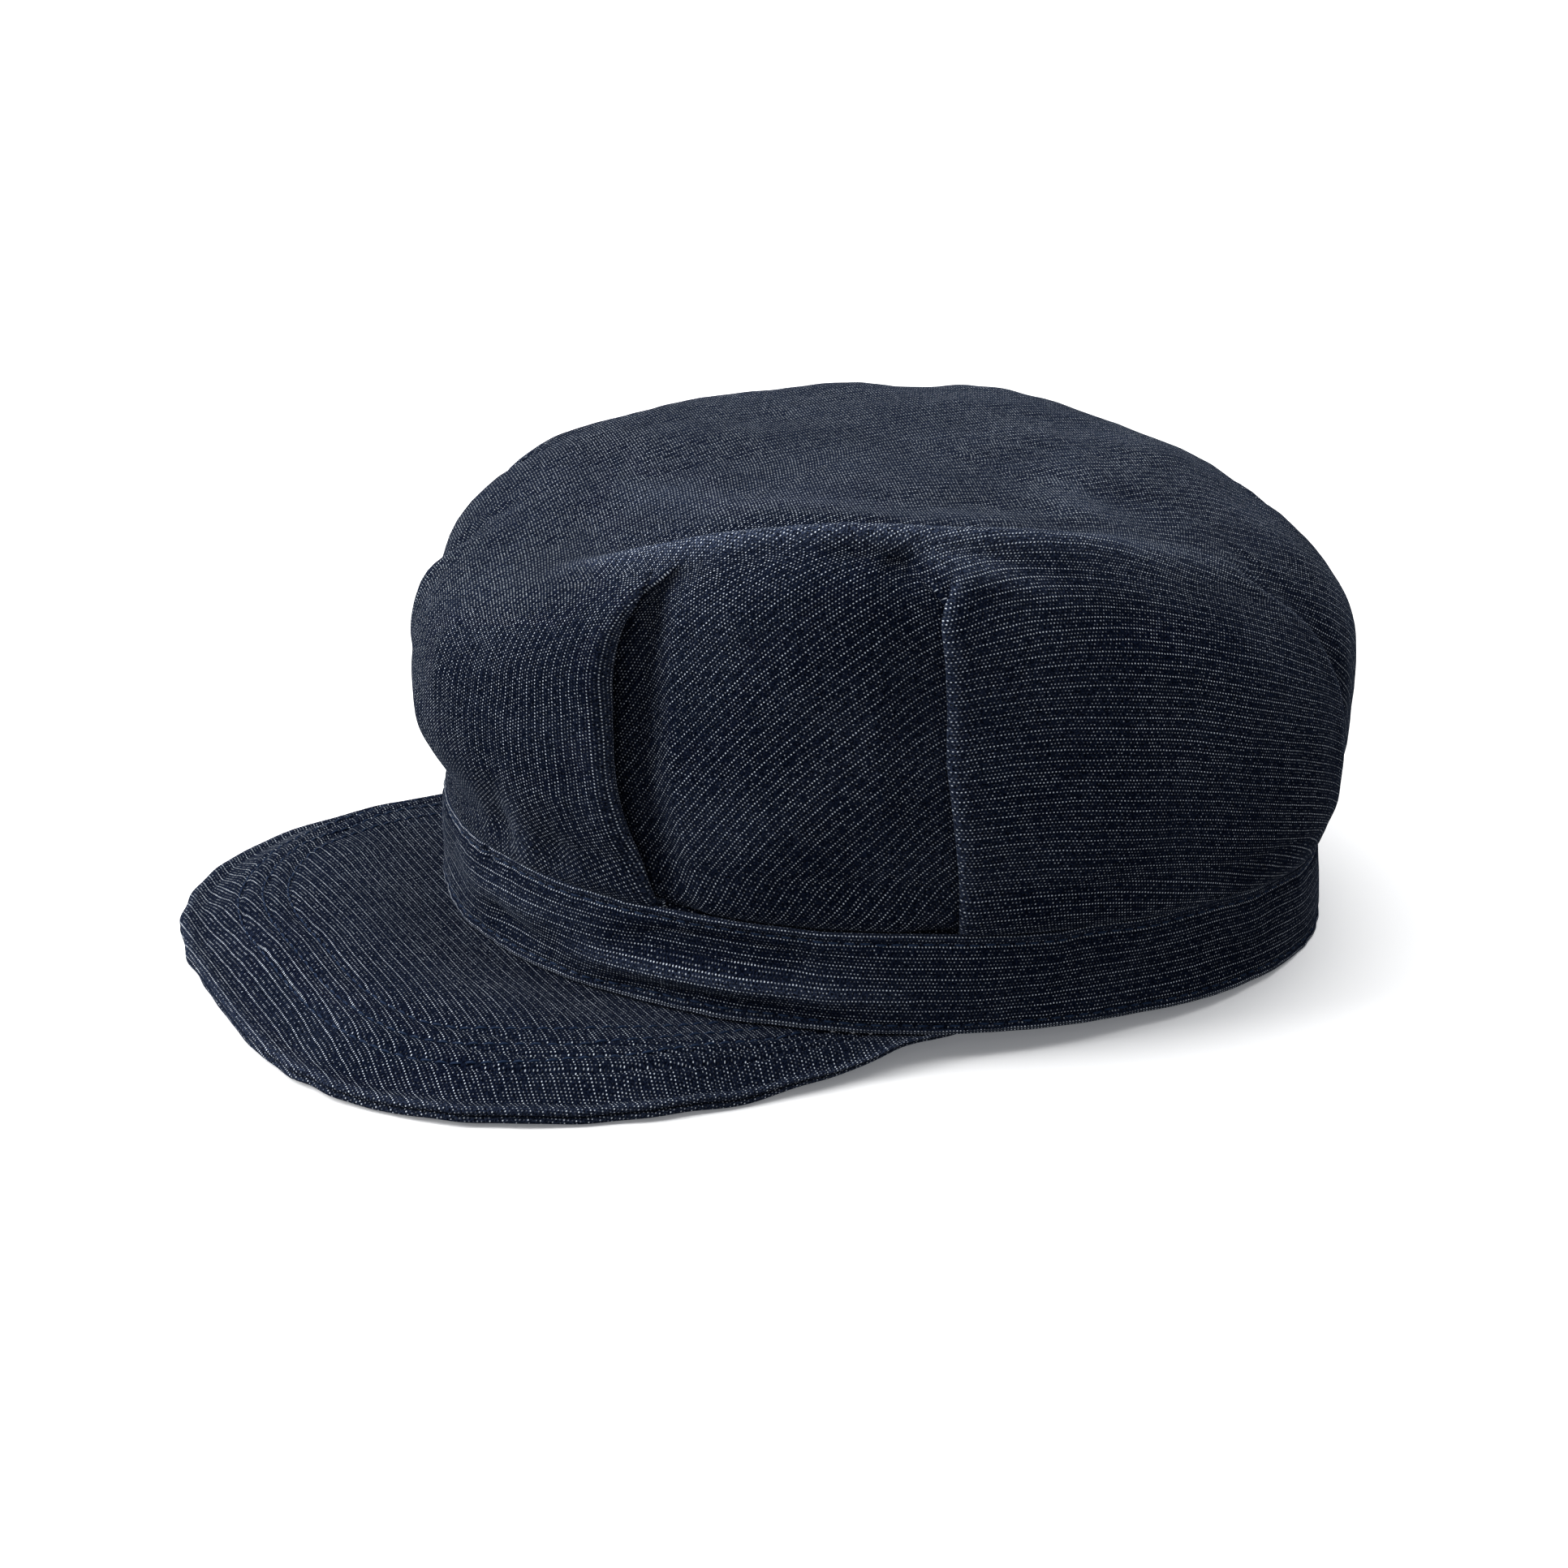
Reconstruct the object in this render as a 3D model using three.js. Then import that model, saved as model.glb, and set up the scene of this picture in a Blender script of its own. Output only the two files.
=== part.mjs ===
// A railroad engineer's cap in striped work cloth: a one-piece pleated crown, a band and a two-ply peak.
// Millimetres, +Z up. The peak points along -Y and the wearer's left is +X.
// The cap lies as it does by itself: on the back of its band and on the edge of its peak.
import * as THREE from "three";

// Driving dimensions of the band
const BAND_LENGTH = 195; // outside, front to back
const BAND_WIDTH = 186; // outside, side to side
const BAND_HEIGHT = 21;
const BAND_WALL = 2;
const BAND_LEAN = 1; // the top edge stands this much further in than the bottom edge
const FRONT_POWER = 1.95; // powers of the oval's two halves: 2 is an ellipse, more is squarer
const BACK_POWER = 2.4;
const FRONT_LIFT = 9.4; // the peak holds the front of the band this far off the surface
const REST_SHARE = 0.15; // share of the band's length, from the back, that lies flat on the surface
const LIFT_POWER = 0.85;
const CLEARANCE = 0.3; // between pieces that touch

// Driving dimensions of the crown
const CLOTH = 1.2; // wall of the crown
const CROWN_HEIGHT = 104; // from the surface to the middle of the top
const OVERHANG = 4.5; // how far the crown bulges past the band
const BELLY_SHARE = 0.45; // height of the bulge between the band and the shoulder
const BELLY_POWER = 0.5; // how soon above the band the crown bulges: less is sooner
const SHOULDER_POWER = 4.5; // power of the curve from the bulge to the top: more is a tighter shoulder
const TOP_SETBACK = 4; // the middle of the top lies this far behind the middle of the band
const TUCK = 7; // hem of the crown that is sewn inside the band
const SEAM_ROOM = 0.7; // the crown turns outwards this far above the band
const DENT_DEPTH = 5;

// Driving dimensions of the pleats
const UNDERLAP = 16; // cloth folded under at the band
const LAYER_PITCH = 1.6; // from one layer of folded cloth to the next
const PLEAT_STAND = 2.2; // how far the folded edges stand proud
const PLEAT_GAP = 7; // how far the widest pleat gapes
const PLEAT_SPREAD = 11; // half the width over which a pleat opens out at its head
const PLEAT_OPENING = 0.2; // share of the side's height in which it opens
const PANEL_FULLNESS = 1.5; // how far the middle of a panel puffs out
const PUFF_RISE = 0.3; // share of the side's height over which it puffs out above the band
const PUFF_FADE = [0.7, 1.1]; // shares between which it comes back at the shoulder

// Driving dimensions of the peak
const PEAK_LENGTH = 56; // from the front of the band to the tip, seen from above
const PEAK_WIDTH = 183; // at its widest
const PEAK_PLY = 1.4; // wall of each of its two plies
const PEAK_HALF_ANGLE = 75; // where its edge comes out from under the band, from the front
const PEAK_TUCK_ANGLE = 68; // where its inner edge ends
const PEAK_POWER = 3; // squareness of its outline
const PEAK_WAIST = 0.85; // share of the way round at which its outline starts to narrow to the band
const PEAK_DROP_POWER = 2.6; // how late the cloth bends down towards the rim
const PEAK_CROWNING = 3; // how far the middle of the peak arches up
const PEAK_REST = 0.93; // share of the way out at which the rim lies flat on the surface
const PEAK_RISE = 0.92; // share of the way round at which the rim starts to rise to the band

// Numbers and spacing of sections
const PANEL_STEP = 10; // degrees between the lines up a panel
const PLEAT_REACH = 20; // degrees of a panel that the pleats at its sides take up
const BAND_SECTIONS = 112;
const PEAK_SECTIONS = 36;
const PEAK_STATIONS = 8;
const STATION_POWER = 1.15; // above 1 they crowd towards the rim

// Height of the shoulder, size of the bulge and tightness of the shoulder's curve, every 60 degrees
// from the back, as shares of CROWN_HEIGHT, OVERHANG and SHOULDER_POWER.
// Angles grow from the front towards the wearer's left.
const SHOULDER = [
  { angle: -180, height: 0.92, bulge: 0.5, power: 0.76 },
  { angle: -120, height: 0.98, bulge: 0.8, power: 0.85 },
  { angle: -60, height: 1, bulge: 0.5, power: 0.74 },
  { angle: 0, height: 0.89, bulge: 0.5, power: 0.76 },
  { angle: 60, height: 1.1, bulge: 0.8, power: 1.4 },
  { angle: 120, height: 0.96, bulge: 0.9, power: 0.6 },
];

// Folds round the crown, which lies a little turned on its band.
// angle: where the folded edge meets the band. proud: the side of it where the proud panel lies,
// 1 towards larger angles and -1 towards smaller ones. underlap and gap: shares of UNDERLAP and
// PLEAT_GAP. head: height of its upper end, as a share of the side. bow and lean: degrees that its
// middle bends and its head leans towards larger angles.
const PLEATS = [
  { angle: -138, proud: -1, underlap: 0.9, gap: 0.3, head: 0.86, bow: 0, lean: 2 },
  { angle: -105, proud: 1, underlap: 0.9, gap: 0.3, head: 0.86, bow: -2, lean: 0 },
  { angle: -55, proud: -1, underlap: 1, gap: 0.3, head: 0.86, bow: 2, lean: 2 },
  { angle: -19, proud: 1, underlap: 1, gap: 0.8, head: 0.9, bow: -1.5, lean: -1 },
  { angle: 36.5, proud: -1, underlap: 1, gap: 1, head: 0.9, bow: -5.5, lean: 1.5 },
  { angle: 75, proud: 1, underlap: 1, gap: 0.15, head: 0.76, bow: 0, lean: -5 },
  { angle: 132, proud: -1, underlap: 0.9, gap: 0.3, head: 0.9, bow: 1.5, lean: -9 },
  { angle: 168, proud: 1, underlap: 0.8, gap: 0.15, head: 0.86, bow: 0, lean: 0 },
];

// Section across one pleat, from the proud panel to the panel behind it.
// turn: distance from the folded edge in LAYER_PITCH. under: distance back from it in underlaps.
// layer: how deep it lies, in LAYER_PITCH. open: place in the opened cloth, in PLEAT_SPREAD.
const PLEAT_SECTION = [
  { turn: -3.4, under: 0, layer: 0, open: -1 },
  { turn: -1.1, under: 0, layer: 0, open: -0.78 },
  { turn: 0, under: 0, layer: 0.5, open: -0.58 },
  { turn: -1.1, under: 0, layer: 1, open: -0.38 },
  { turn: -0.6, under: 0.55, layer: 1, open: -0.18 },
  { turn: 0, under: 1, layer: 1, open: 0.02 },
  { turn: -1.1, under: 1, layer: 1.5, open: 0.2 },
  { turn: 0, under: 1, layer: 2, open: 0.38 },
  { turn: 0, under: 0.45, layer: 2, open: 0.58 },
  { turn: 3.2, under: 0, layer: 2, open: 0.78 },
  { turn: 8, under: 0, layer: 1, open: 1 },
];

// Soft dents and ridges of the crown, as the cap lies. angle and along: place round and up the side,
// where along is 0 at the band and 1 at the shoulder. depth: share of DENT_DEPTH, inwards.
// wide: half width in degrees. tall: half height in shares of the side.
const DENTS = [
  { angle: 70, along: 0.88, depth: 0.6, wide: 12, tall: 0.14 },
  { angle: 92, along: 0.72, depth: 0.35, wide: 12, tall: 0.1 },
  { angle: 88, along: 1.02, depth: -0.3, wide: 30, tall: 0.12 },
  { angle: 80, along: 1.45, depth: 0.6, wide: 42, tall: 0.22 },
  { angle: -80, along: 1.4, depth: 0.4, wide: 40, tall: 0.25 },
  { angle: 8, along: 1.1, depth: 0.4, wide: 22, tall: 0.14 },
  { angle: 112, along: 0.35, depth: -0.3, wide: 20, tall: 0.3 },
  { angle: -14, along: 0.15, depth: 0.9, wide: 32, tall: 0.14 },
];

// Rows of the crown, from the hem to the middle of the top
const SIDE_ROWS = [0.07, 0.2, 0.42, 0.7, 1]; // shares of the way from the seam to the bulge
const TOP_ROWS = [5, 11, 18, 26, 34, 43, 53, 63, 73, 84]; // degrees from the bulge to the middle
const SHOULDER_TURN = 45; // the shoulder, in the same degrees

const { degToRad, lerp, smoothstep, clamp } = THREE.MathUtils;
const MEAN_RADIUS = (BAND_LENGTH + BAND_WIDTH) / 4;
const PEAK_THICKNESS = 2 * PEAK_PLY + CLEARANCE;

// The band's oval

// A point on the oval of the band's outside, moved outwards by out. Angle 0 is the front.
function ovalPoint(angle, out) {
  const at = (a) => {
    const x = Math.sin(a);
    const y = -Math.cos(a);
    const power = y > 0 ? BACK_POWER : FRONT_POWER;
    const scale = (Math.abs(x) ** power + Math.abs(y) ** power) ** (-1 / power);
    return new THREE.Vector2((BAND_WIDTH / 2) * x * scale, (BAND_LENGTH / 2) * y * scale);
  };
  const step = 0.01;
  const along = at(angle + step).sub(at(angle - step)).normalize();
  return at(angle).add(new THREE.Vector2(along.y, -along.x).multiplyScalar(out));
}

// Height of the band's bottom edge, which rises from where it rests towards the peak.
function bandBottom(y) {
  const forward = (BAND_LENGTH / 2 - y) / BAND_LENGTH;
  const share = clamp((forward - REST_SHARE) / (1 - REST_SHARE), 0, 1);
  return FRONT_LIFT * share ** LIFT_POWER;
}

// Mesh helpers

// A closed mesh from a grid of outer and inner points that runs round in a loop,
// open at its first row and closed at its last row by a pole.
function shellMesh(outer, inner, outerPole, innerPole) {
  const rows = outer.length;
  const columns = outer[0].length;
  const points = [...outer.flat(), ...inner.flat(), outerPole, innerPole];
  const index = [];
  const at = (side, row, column) => (side * rows + row) * columns + (column % columns);
  const quad = (a, b, c, d) => index.push(a, b, c, a, c, d);
  for (let j = 0; j < columns; j++) {
    for (let i = 0; i + 1 < rows; i++) {
      quad(at(0, i, j), at(0, i, j + 1), at(0, i + 1, j + 1), at(0, i + 1, j));
      quad(at(1, i, j + 1), at(1, i, j), at(1, i + 1, j), at(1, i + 1, j + 1));
    }
    quad(at(1, 0, j), at(1, 0, j + 1), at(0, 0, j + 1), at(0, 0, j));
    index.push(at(0, rows - 1, j), at(0, rows - 1, j + 1), points.length - 2);
    index.push(at(1, rows - 1, j + 1), at(1, rows - 1, j), points.length - 1);
  }
  return solidGeometry(points, index);
}

// A closed mesh from sections that each go once round a cross-section: a ring, or with two ends.
function loftMesh(sections, ring) {
  const across = sections[0].length;
  const points = sections.flat();
  const index = [];
  const at = (i, j) => (i % sections.length) * across + (j % across);
  for (let i = 0; i + (ring ? 0 : 1) < sections.length; i++)
    for (let j = 0; j < across; j++) {
      index.push(at(i, j), at(i + 1, j), at(i + 1, j + 1));
      index.push(at(i, j), at(i + 1, j + 1), at(i, j + 1));
    }
  if (!ring) {
    const half = across / 2;
    for (const end of [0, sections.length - 1])
      for (let j = 0; j + 1 < half; j++) {
        const a = at(end, j);
        const b = at(end, j + 1);
        const c = at(end, across - 2 - j);
        const d = at(end, across - 1 - j);
        if (end === 0) index.push(a, b, c, a, c, d);
        else index.push(a, c, b, a, d, c);
      }
  }
  return solidGeometry(points, index);
}

function solidGeometry(points, index) {
  const geometry = new THREE.BufferGeometry().setFromPoints(points);
  geometry.setIndex(index);
  geometry.computeVertexNormals();
  return geometry;
}

// The band

function bandGeometry() {
  const sections = [];
  for (let i = 0; i < BAND_SECTIONS; i++) {
    const angle = (2 * Math.PI * i) / BAND_SECTIONS;
    const bottom = bandBottom(ovalPoint(angle, 0).y);
    const edge = (out, rise) => {
      const { x, y } = ovalPoint(angle, out - BAND_LEAN * rise);
      return new THREE.Vector3(x, y, bottom + BAND_HEIGHT * rise);
    };
    sections.push([edge(0, 0), edge(0, 0.5), edge(0, 1)]);
    sections[i].push(edge(-BAND_WALL, 1), edge(-BAND_WALL, 0.5), edge(-BAND_WALL, 0));
  }
  return loftMesh(sections, true);
}

// The crown

// A value of the SHOULDER table at any angle, on a smooth closed curve through its rows.
function shoulder(column, angle) {
  const count = SHOULDER.length;
  const turns = (angle / (2 * Math.PI) + 0.5) * count;
  const row = Math.floor(turns);
  const value = (k) => SHOULDER[(((row + k) % count) + count) % count][column];
  const t = turns - row;
  const [a, b, c, d] = [-1, 0, 1, 2].map(value);
  return b + 0.5 * t * (c - a + t * (2 * a - 5 * b + 4 * c - d + t * (3 * (b - c) + d - a)));
}

// Rows of the crown: along is 0 at the band, 1 at the shoulder and more on the top.
function crownRows() {
  const rows = [{ along: -0.1, tuck: -TUCK }, { along: 0, tuck: SEAM_ROOM }];
  for (const side of SIDE_ROWS) rows.push({ along: BELLY_SHARE * side, side });
  for (const turn of TOP_ROWS)
    rows.push({ along: lerp(BELLY_SHARE, 1, turn / SHOULDER_TURN), turn: degToRad(turn) });
  return rows;
}

// A point of the crown's middle surface: at an angle, on a row, moved outwards by out.
function crownPoint(angle, row, out) {
  const seamOut = -(BAND_LEAN + BAND_WALL + CLEARANCE + CLOTH / 2);
  const seam = bandBottom(ovalPoint(angle, 0).y) + BAND_HEIGHT;
  const rim = CROWN_HEIGHT * shoulder("height", angle);
  const belly = lerp(seam, rim, BELLY_SHARE);
  const bulge = OVERHANG * shoulder("bulge", angle);
  if (row.tuck !== undefined) {
    const { x, y } = ovalPoint(angle, seamOut + out);
    return new THREE.Vector3(x, y, seam + row.tuck);
  }
  if (row.side !== undefined) {
    const swell = Math.sin((Math.PI / 2) * row.side) ** BELLY_POWER;
    const { x, y } = ovalPoint(angle, lerp(seamOut, bulge, swell) + out);
    return new THREE.Vector3(x, y, lerp(seam + SEAM_ROOM, belly, row.side));
  }
  const power = SHOULDER_POWER * shoulder("power", angle);
  const reach = Math.cos(row.turn) ** (2 / power);
  const rise = Math.sin(row.turn) ** (2 / power);
  const { x, y } = ovalPoint(angle, bulge + out);
  const top = lerp(CROWN_HEIGHT, rim, reach ** 2);
  return new THREE.Vector3(x * reach, lerp(TOP_SETBACK, y, reach), lerp(belly, top, rise));
}

// Angle and outward shift of one line of a pleat's section, at a height up the side.
function pleatLine(fold, step, along) {
  const height = clamp(along, 0, fold.head);
  const { head } = fold;
  const folded = 1 - smoothstep(along, head - PLEAT_OPENING, head + PLEAT_OPENING / 2);
  const deep = 1 - smoothstep(along, head, head + PLEAT_OPENING);
  const underlap = UNDERLAP * fold.underlap * (1 - height / head);
  const closed = step.turn * LAYER_PITCH - step.under * underlap;
  const across = lerp(step.open * PLEAT_SPREAD, closed, folded);
  const gape = Math.sin((Math.PI * height) / head);
  const bend = degToRad(fold.bow * gape + (fold.lean * height) / head);
  const sunk = step.layer * (LAYER_PITCH + (PLEAT_GAP / 2) * fold.gap * gape);
  const out = deep * (PLEAT_STAND * smoothstep(along, 0, PLEAT_OPENING) - sunk);
  return { angle: degToRad(fold.angle) + bend - (fold.proud * across) / MEAN_RADIUS, out };
}

// Lines that run up the crown, in order round it: those of each pleat, then those of the panel after it.
function crownLines() {
  const pleats = PLEATS.map((fold) => {
    const steps = fold.proud < 0 ? PLEAT_SECTION : [...PLEAT_SECTION].reverse();
    return steps.map((step) => (along) => pleatLine(fold, step, along));
  });
  const lines = [];
  pleats.forEach((pleat, k) => {
    lines.push(...pleat);
    const next = PLEATS[(k + 1) % PLEATS.length];
    const turn = next.angle > PLEATS[k].angle ? 0 : 2 * Math.PI;
    const from = pleat.at(-1);
    const to = pleats[(k + 1) % pleats.length][0];
    const width = next.angle - PLEATS[k].angle + (turn ? 360 : 0);
    const count = Math.max(1, Math.round((width - PLEAT_REACH) / PANEL_STEP));
    for (let i = 1; i <= count; i++) {
      const share = i / (count + 1);
      lines.push((along) => {
        const a = from(along);
        const b = to(along);
        const rise = smoothstep(along, 0, PUFF_RISE) * (1 - smoothstep(along, ...PUFF_FADE));
        const puff = PANEL_FULLNESS * Math.sin(Math.PI * share) * rise;
        const angle = lerp(a.angle, b.angle + turn, share);
        return { angle, out: lerp(a.out, b.out, share) + puff };
      });
    }
  });
  return lines;
}

// How far the dents push the cloth in at a place on the crown.
function dentDepth(angle, along) {
  let depth = 0;
  for (const dent of DENTS) {
    const apart = THREE.MathUtils.euclideanModulo(angle - degToRad(dent.angle) + Math.PI, 2 * Math.PI);
    const across = (apart - Math.PI) / degToRad(dent.wide);
    const up = (along - dent.along) / dent.tall;
    depth += DENT_DEPTH * dent.depth * Math.exp(-(across ** 2 + up ** 2));
  }
  return depth;
}

// Normals of a looped grid of points, pointing out of the crown.
function gridNormals(grid, pole) {
  return grid.map((row, i) =>
    row.map((point, j) => {
      const columns = row.length;
      const along = new THREE.Vector3();
      const before = row[(j + columns - 1) % columns];
      const after = row[(j + 1) % columns];
      along.subVectors(after, point).normalize();
      along.add(new THREE.Vector3().subVectors(point, before).normalize());
      const above = i + 1 < grid.length ? grid[i + 1][j] : pole;
      const below = grid[Math.max(i - 1, 0)][j];
      return along.cross(new THREE.Vector3().subVectors(above, below)).normalize();
    }),
  );
}

function crownGeometry() {
  const rows = crownRows();
  const lines = crownLines();
  const places = rows.map((row) => lines.map((line) => line(row.along)));
  const middle = places.map((row, i) => row.map(({ angle, out }) => crownPoint(angle, rows[i], out)));
  const pole = new THREE.Vector3(0, TOP_SETBACK, CROWN_HEIGHT);
  const normals = gridNormals(middle, pole);
  middle.forEach((row, i) =>
    row.forEach((point, j) => {
      if (rows[i].tuck !== undefined) return;
      const depth = dentDepth(places[i][j].angle, rows[i].along);
      point.addScaledVector(normals[i][j], -depth);
    }),
  );
  const facing = gridNormals(middle, pole);
  const shifted = (by) =>
    middle.map((row, i) => row.map((point, j) => point.clone().addScaledVector(facing[i][j], by)));
  const half = new THREE.Vector3(0, 0, CLOTH / 2);
  return shellMesh(shifted(CLOTH / 2), shifted(-CLOTH / 2), pole.clone().add(half), pole.clone().sub(half));
}

// The peak

// A section of one ply of the peak, from its inner edge under the band to its rim and back below.
// share goes from -1 at the wearer's right end to 1 at the left, and depth is how far the ply's upper
// face lies below the top of the peak.
function peakSection(share, depth) {
  const inner = ovalPoint(degToRad(PEAK_TUCK_ANGLE) * share, -BAND_WALL);
  const end = ovalPoint(degToRad(PEAK_HALF_ANGLE), -BAND_WALL / 2);
  const turn = (Math.PI / 2) * Math.abs(share);
  const halfWidth = lerp(PEAK_WIDTH / 2, end.x, smoothstep(Math.abs(share), PEAK_WAIST, 1));
  const side = halfWidth * Math.sign(share) * Math.sin(turn) ** (2 / PEAK_POWER);
  const reach = BAND_LENGTH / 2 + PEAK_LENGTH + end.y;
  const rim = new THREE.Vector2(side, end.y - reach * Math.cos(turn) ** (2 / PEAK_POWER));
  const width = inner.distanceTo(rim) / PEAK_LENGTH;
  const inside = bandBottom(inner.y) - CLEARANCE;
  const raised = bandBottom(end.y) - CLEARANCE;
  const outside = lerp(PEAK_THICKNESS, raised, smoothstep(Math.abs(share), PEAK_RISE, 1));
  const upper = [];
  for (let j = 0; j <= PEAK_STATIONS; j++) {
    const way = 1 - (1 - j / PEAK_STATIONS) ** STATION_POWER;
    const plan = inner.clone().lerp(rim, way);
    const fall = Math.min(1, way / PEAK_REST);
    const arch = PEAK_CROWNING * Math.min(1, width) ** 2 * Math.sin(Math.PI * fall) ** 2;
    const z = lerp(inside, outside, fall ** PEAK_DROP_POWER) + arch;
    upper.push(new THREE.Vector3(plan.x, plan.y, z - depth));
  }
  const lower = upper.map((point) => point.clone().setZ(point.z - PEAK_PLY)).reverse();
  return [...upper, ...lower];
}

function peakGeometry(depth) {
  const sections = [];
  for (let i = 0; i <= PEAK_SECTIONS; i++) {
    const share = 1 - (2 * i) / PEAK_SECTIONS;
    sections.push(peakSection(share, depth));
  }
  return loftMesh(sections, false);
}

// The cap

const cloth = (color) => new THREE.MeshStandardMaterial({ color, roughness: 0.92, metalness: 0 });

const cap = new THREE.Group();
function addPiece(name, geometry, color) {
  const mesh = new THREE.Mesh(geometry, cloth(color));
  mesh.name = name;
  cap.add(mesh);
}
addPiece("crown", crownGeometry(), 0x1b2336);
addPiece("band", bandGeometry(), 0x1a2234);
addPiece("peak_top", peakGeometry(0), 0x232b3d);
addPiece("peak_under", peakGeometry(PEAK_PLY + CLEARANCE), 0x1a2132);

// The origin is on the surface below the middle of the cap's box.
const box = new THREE.Box3().setFromObject(cap);
const centre = box.getCenter(new THREE.Vector3());
cap.position.set(-centre.x, -centre.y, -box.min.z);

export default cap;
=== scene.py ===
# Looks of the railroad engineer cap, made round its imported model: the pleated crown, the band, the two
# plies of the peak and their topstitching, all in the same striped work cloth.
import math
from collections import namedtuple

import bpy
import numpy as np
from mathutils import Matrix, Vector
from mathutils.bvhtree import BVHTree


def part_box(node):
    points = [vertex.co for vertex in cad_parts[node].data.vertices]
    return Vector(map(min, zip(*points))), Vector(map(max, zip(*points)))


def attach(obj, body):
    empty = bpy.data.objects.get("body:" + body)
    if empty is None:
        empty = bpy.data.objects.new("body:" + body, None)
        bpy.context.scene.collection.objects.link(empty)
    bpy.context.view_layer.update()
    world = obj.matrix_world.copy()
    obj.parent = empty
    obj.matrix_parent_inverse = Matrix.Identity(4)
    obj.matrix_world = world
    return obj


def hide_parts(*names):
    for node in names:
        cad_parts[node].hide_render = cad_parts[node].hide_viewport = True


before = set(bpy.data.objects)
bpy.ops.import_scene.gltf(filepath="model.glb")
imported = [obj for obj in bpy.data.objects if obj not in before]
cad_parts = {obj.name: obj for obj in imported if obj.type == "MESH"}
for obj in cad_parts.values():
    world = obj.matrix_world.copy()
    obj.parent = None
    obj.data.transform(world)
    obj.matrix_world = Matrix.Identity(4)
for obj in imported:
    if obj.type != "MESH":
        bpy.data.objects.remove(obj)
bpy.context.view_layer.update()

MM = 0.001  # metres in a millimetre, the unit of every size below

# Sizes of the band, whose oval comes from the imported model
BAND_LOW, BAND_HIGH = (np.array(corner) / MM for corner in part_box("band"))
CENTRE = (BAND_LOW + BAND_HIGH) / 2 * (1, 1, 0)  # of the band, on the surface that the cap lies on
BAND_WIDTH, BAND_LENGTH = (BAND_HIGH - BAND_LOW)[:2]
BAND_HEIGHT = 21
BAND_WALL = 2
BAND_LEAN = 1  # how far its top leans in
BAND_ROUNDING = 0.95  # of its folded edges
BAND_EDGE = 4  # height of the strips along its edges that have closer points
FRONT_POWER = 1.95  # squareness of the front half of its oval, 2 for an ellipse
BACK_POWER = 2.4
MEAN_RADIUS = (BAND_LENGTH + BAND_WIDTH) / 4
FRONT_LIFT = 9.4  # height of its front above the surface
REST_SHARE = 0.15  # of its length, at the back, that lies on the surface
LIFT_POWER = 0.85  # how early it rises from there
CLEARANCE = 0.3  # between pieces
BACK_SEAM = 0.6  # depth of the seam at its back
BACK_SEAM_WIDTH = 0.5
BACK_RADIUS = 95  # from the middle of the cap to that seam

# Sizes of the crown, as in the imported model
SOLID_CLOTH = 1.2  # wall of the solid, whose outer face the cloth keeps
CLOTH = 0.85
CROWN_HEIGHT = 104
OVERHANG = 4.5  # of the side's belly past the band
BELLY_SHARE = 0.45  # of the way up to the shoulder
BELLY_POWER = 0.5  # how soon the side swells out to its belly
SHOULDER_POWER = 4.5  # squareness of the shoulder
TOP_SETBACK = 4  # of the middle of the top
TUCK = 7  # depth of the hem inside the band
SEAM_ROOM = 0.7  # between the band's top edge and the side
DENT_DEPTH = 5
SHOULDER_TURN = 45  # degrees of the shoulder's curve at a way up of 1
UNDERLAP = 16  # cloth folded under at the foot of a pleat
LAYER_PITCH = 1.6  # from one layer of a pleat to the next
PLEAT_STAND = 2.2  # how far a pleat's edge stands out
PLEAT_GAP = 7  # widest opening under a pleat's edge
PLEAT_SPREAD = 11  # half width of a pleat's cloth above its head
PLEAT_OPENING = 0.2  # share of the way up over which a pleat opens
PANEL_FULLNESS = 1.5

# The shoulder round the crown, a column for each 60 degrees from the back, as shares of its sizes
SHOULDER = {
    "height": [0.92, 0.98, 1, 0.89, 1.1, 0.96],
    "bulge": [0.5, 0.8, 0.5, 0.5, 0.8, 0.9],
    "power": [0.76, 0.85, 0.74, 0.76, 1.4, 0.6],
}

# The pleats round the crown: the side to which each stands out, shares of its underlap and gap, the way up
# to its head, and the degrees by which its edge bows and leans
PLEATS = [
    dict(angle=-138, proud=-1, underlap=0.9, gap=0.3, head=0.86, bow=0, lean=2),
    dict(angle=-105, proud=1, underlap=0.9, gap=0.3, head=0.86, bow=-2, lean=0),
    dict(angle=-55, proud=-1, underlap=1, gap=0.3, head=0.86, bow=2, lean=2),
    dict(angle=-19, proud=1, underlap=1, gap=0.8, head=0.9, bow=-1.5, lean=-1),
    dict(angle=36.5, proud=-1, underlap=1, gap=1, head=0.9, bow=-5.5, lean=1.5),
    dict(angle=75, proud=1, underlap=1, gap=0.15, head=0.76, bow=0, lean=-5),
    dict(angle=132, proud=-1, underlap=0.9, gap=0.3, head=0.9, bow=1.5, lean=-9),
    dict(angle=168, proud=1, underlap=0.8, gap=0.15, head=0.86, bow=0, lean=0),
]

# A pleat's section, a column for each step across it: sideways in layers, how far it lies under the fold,
# which layer it is in, and its place across the cloth once the pleat is open
PLEAT_SECTION = {
    "turn": [-3.4, -1.1, 0, -1.1, -0.6, 0, -1.1, 0, 0, 3.2, 8],
    "under": [0, 0, 0, 0, 0.55, 1, 1, 1, 0.45, 0, 0],
    "layer": [0, 0, 0.5, 1, 1, 1, 1.5, 2, 2, 2, 1],
    "open": [-1, -0.78, -0.58, -0.38, -0.18, 0.02, 0.2, 0.38, 0.58, 0.78, 1],
}

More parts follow.
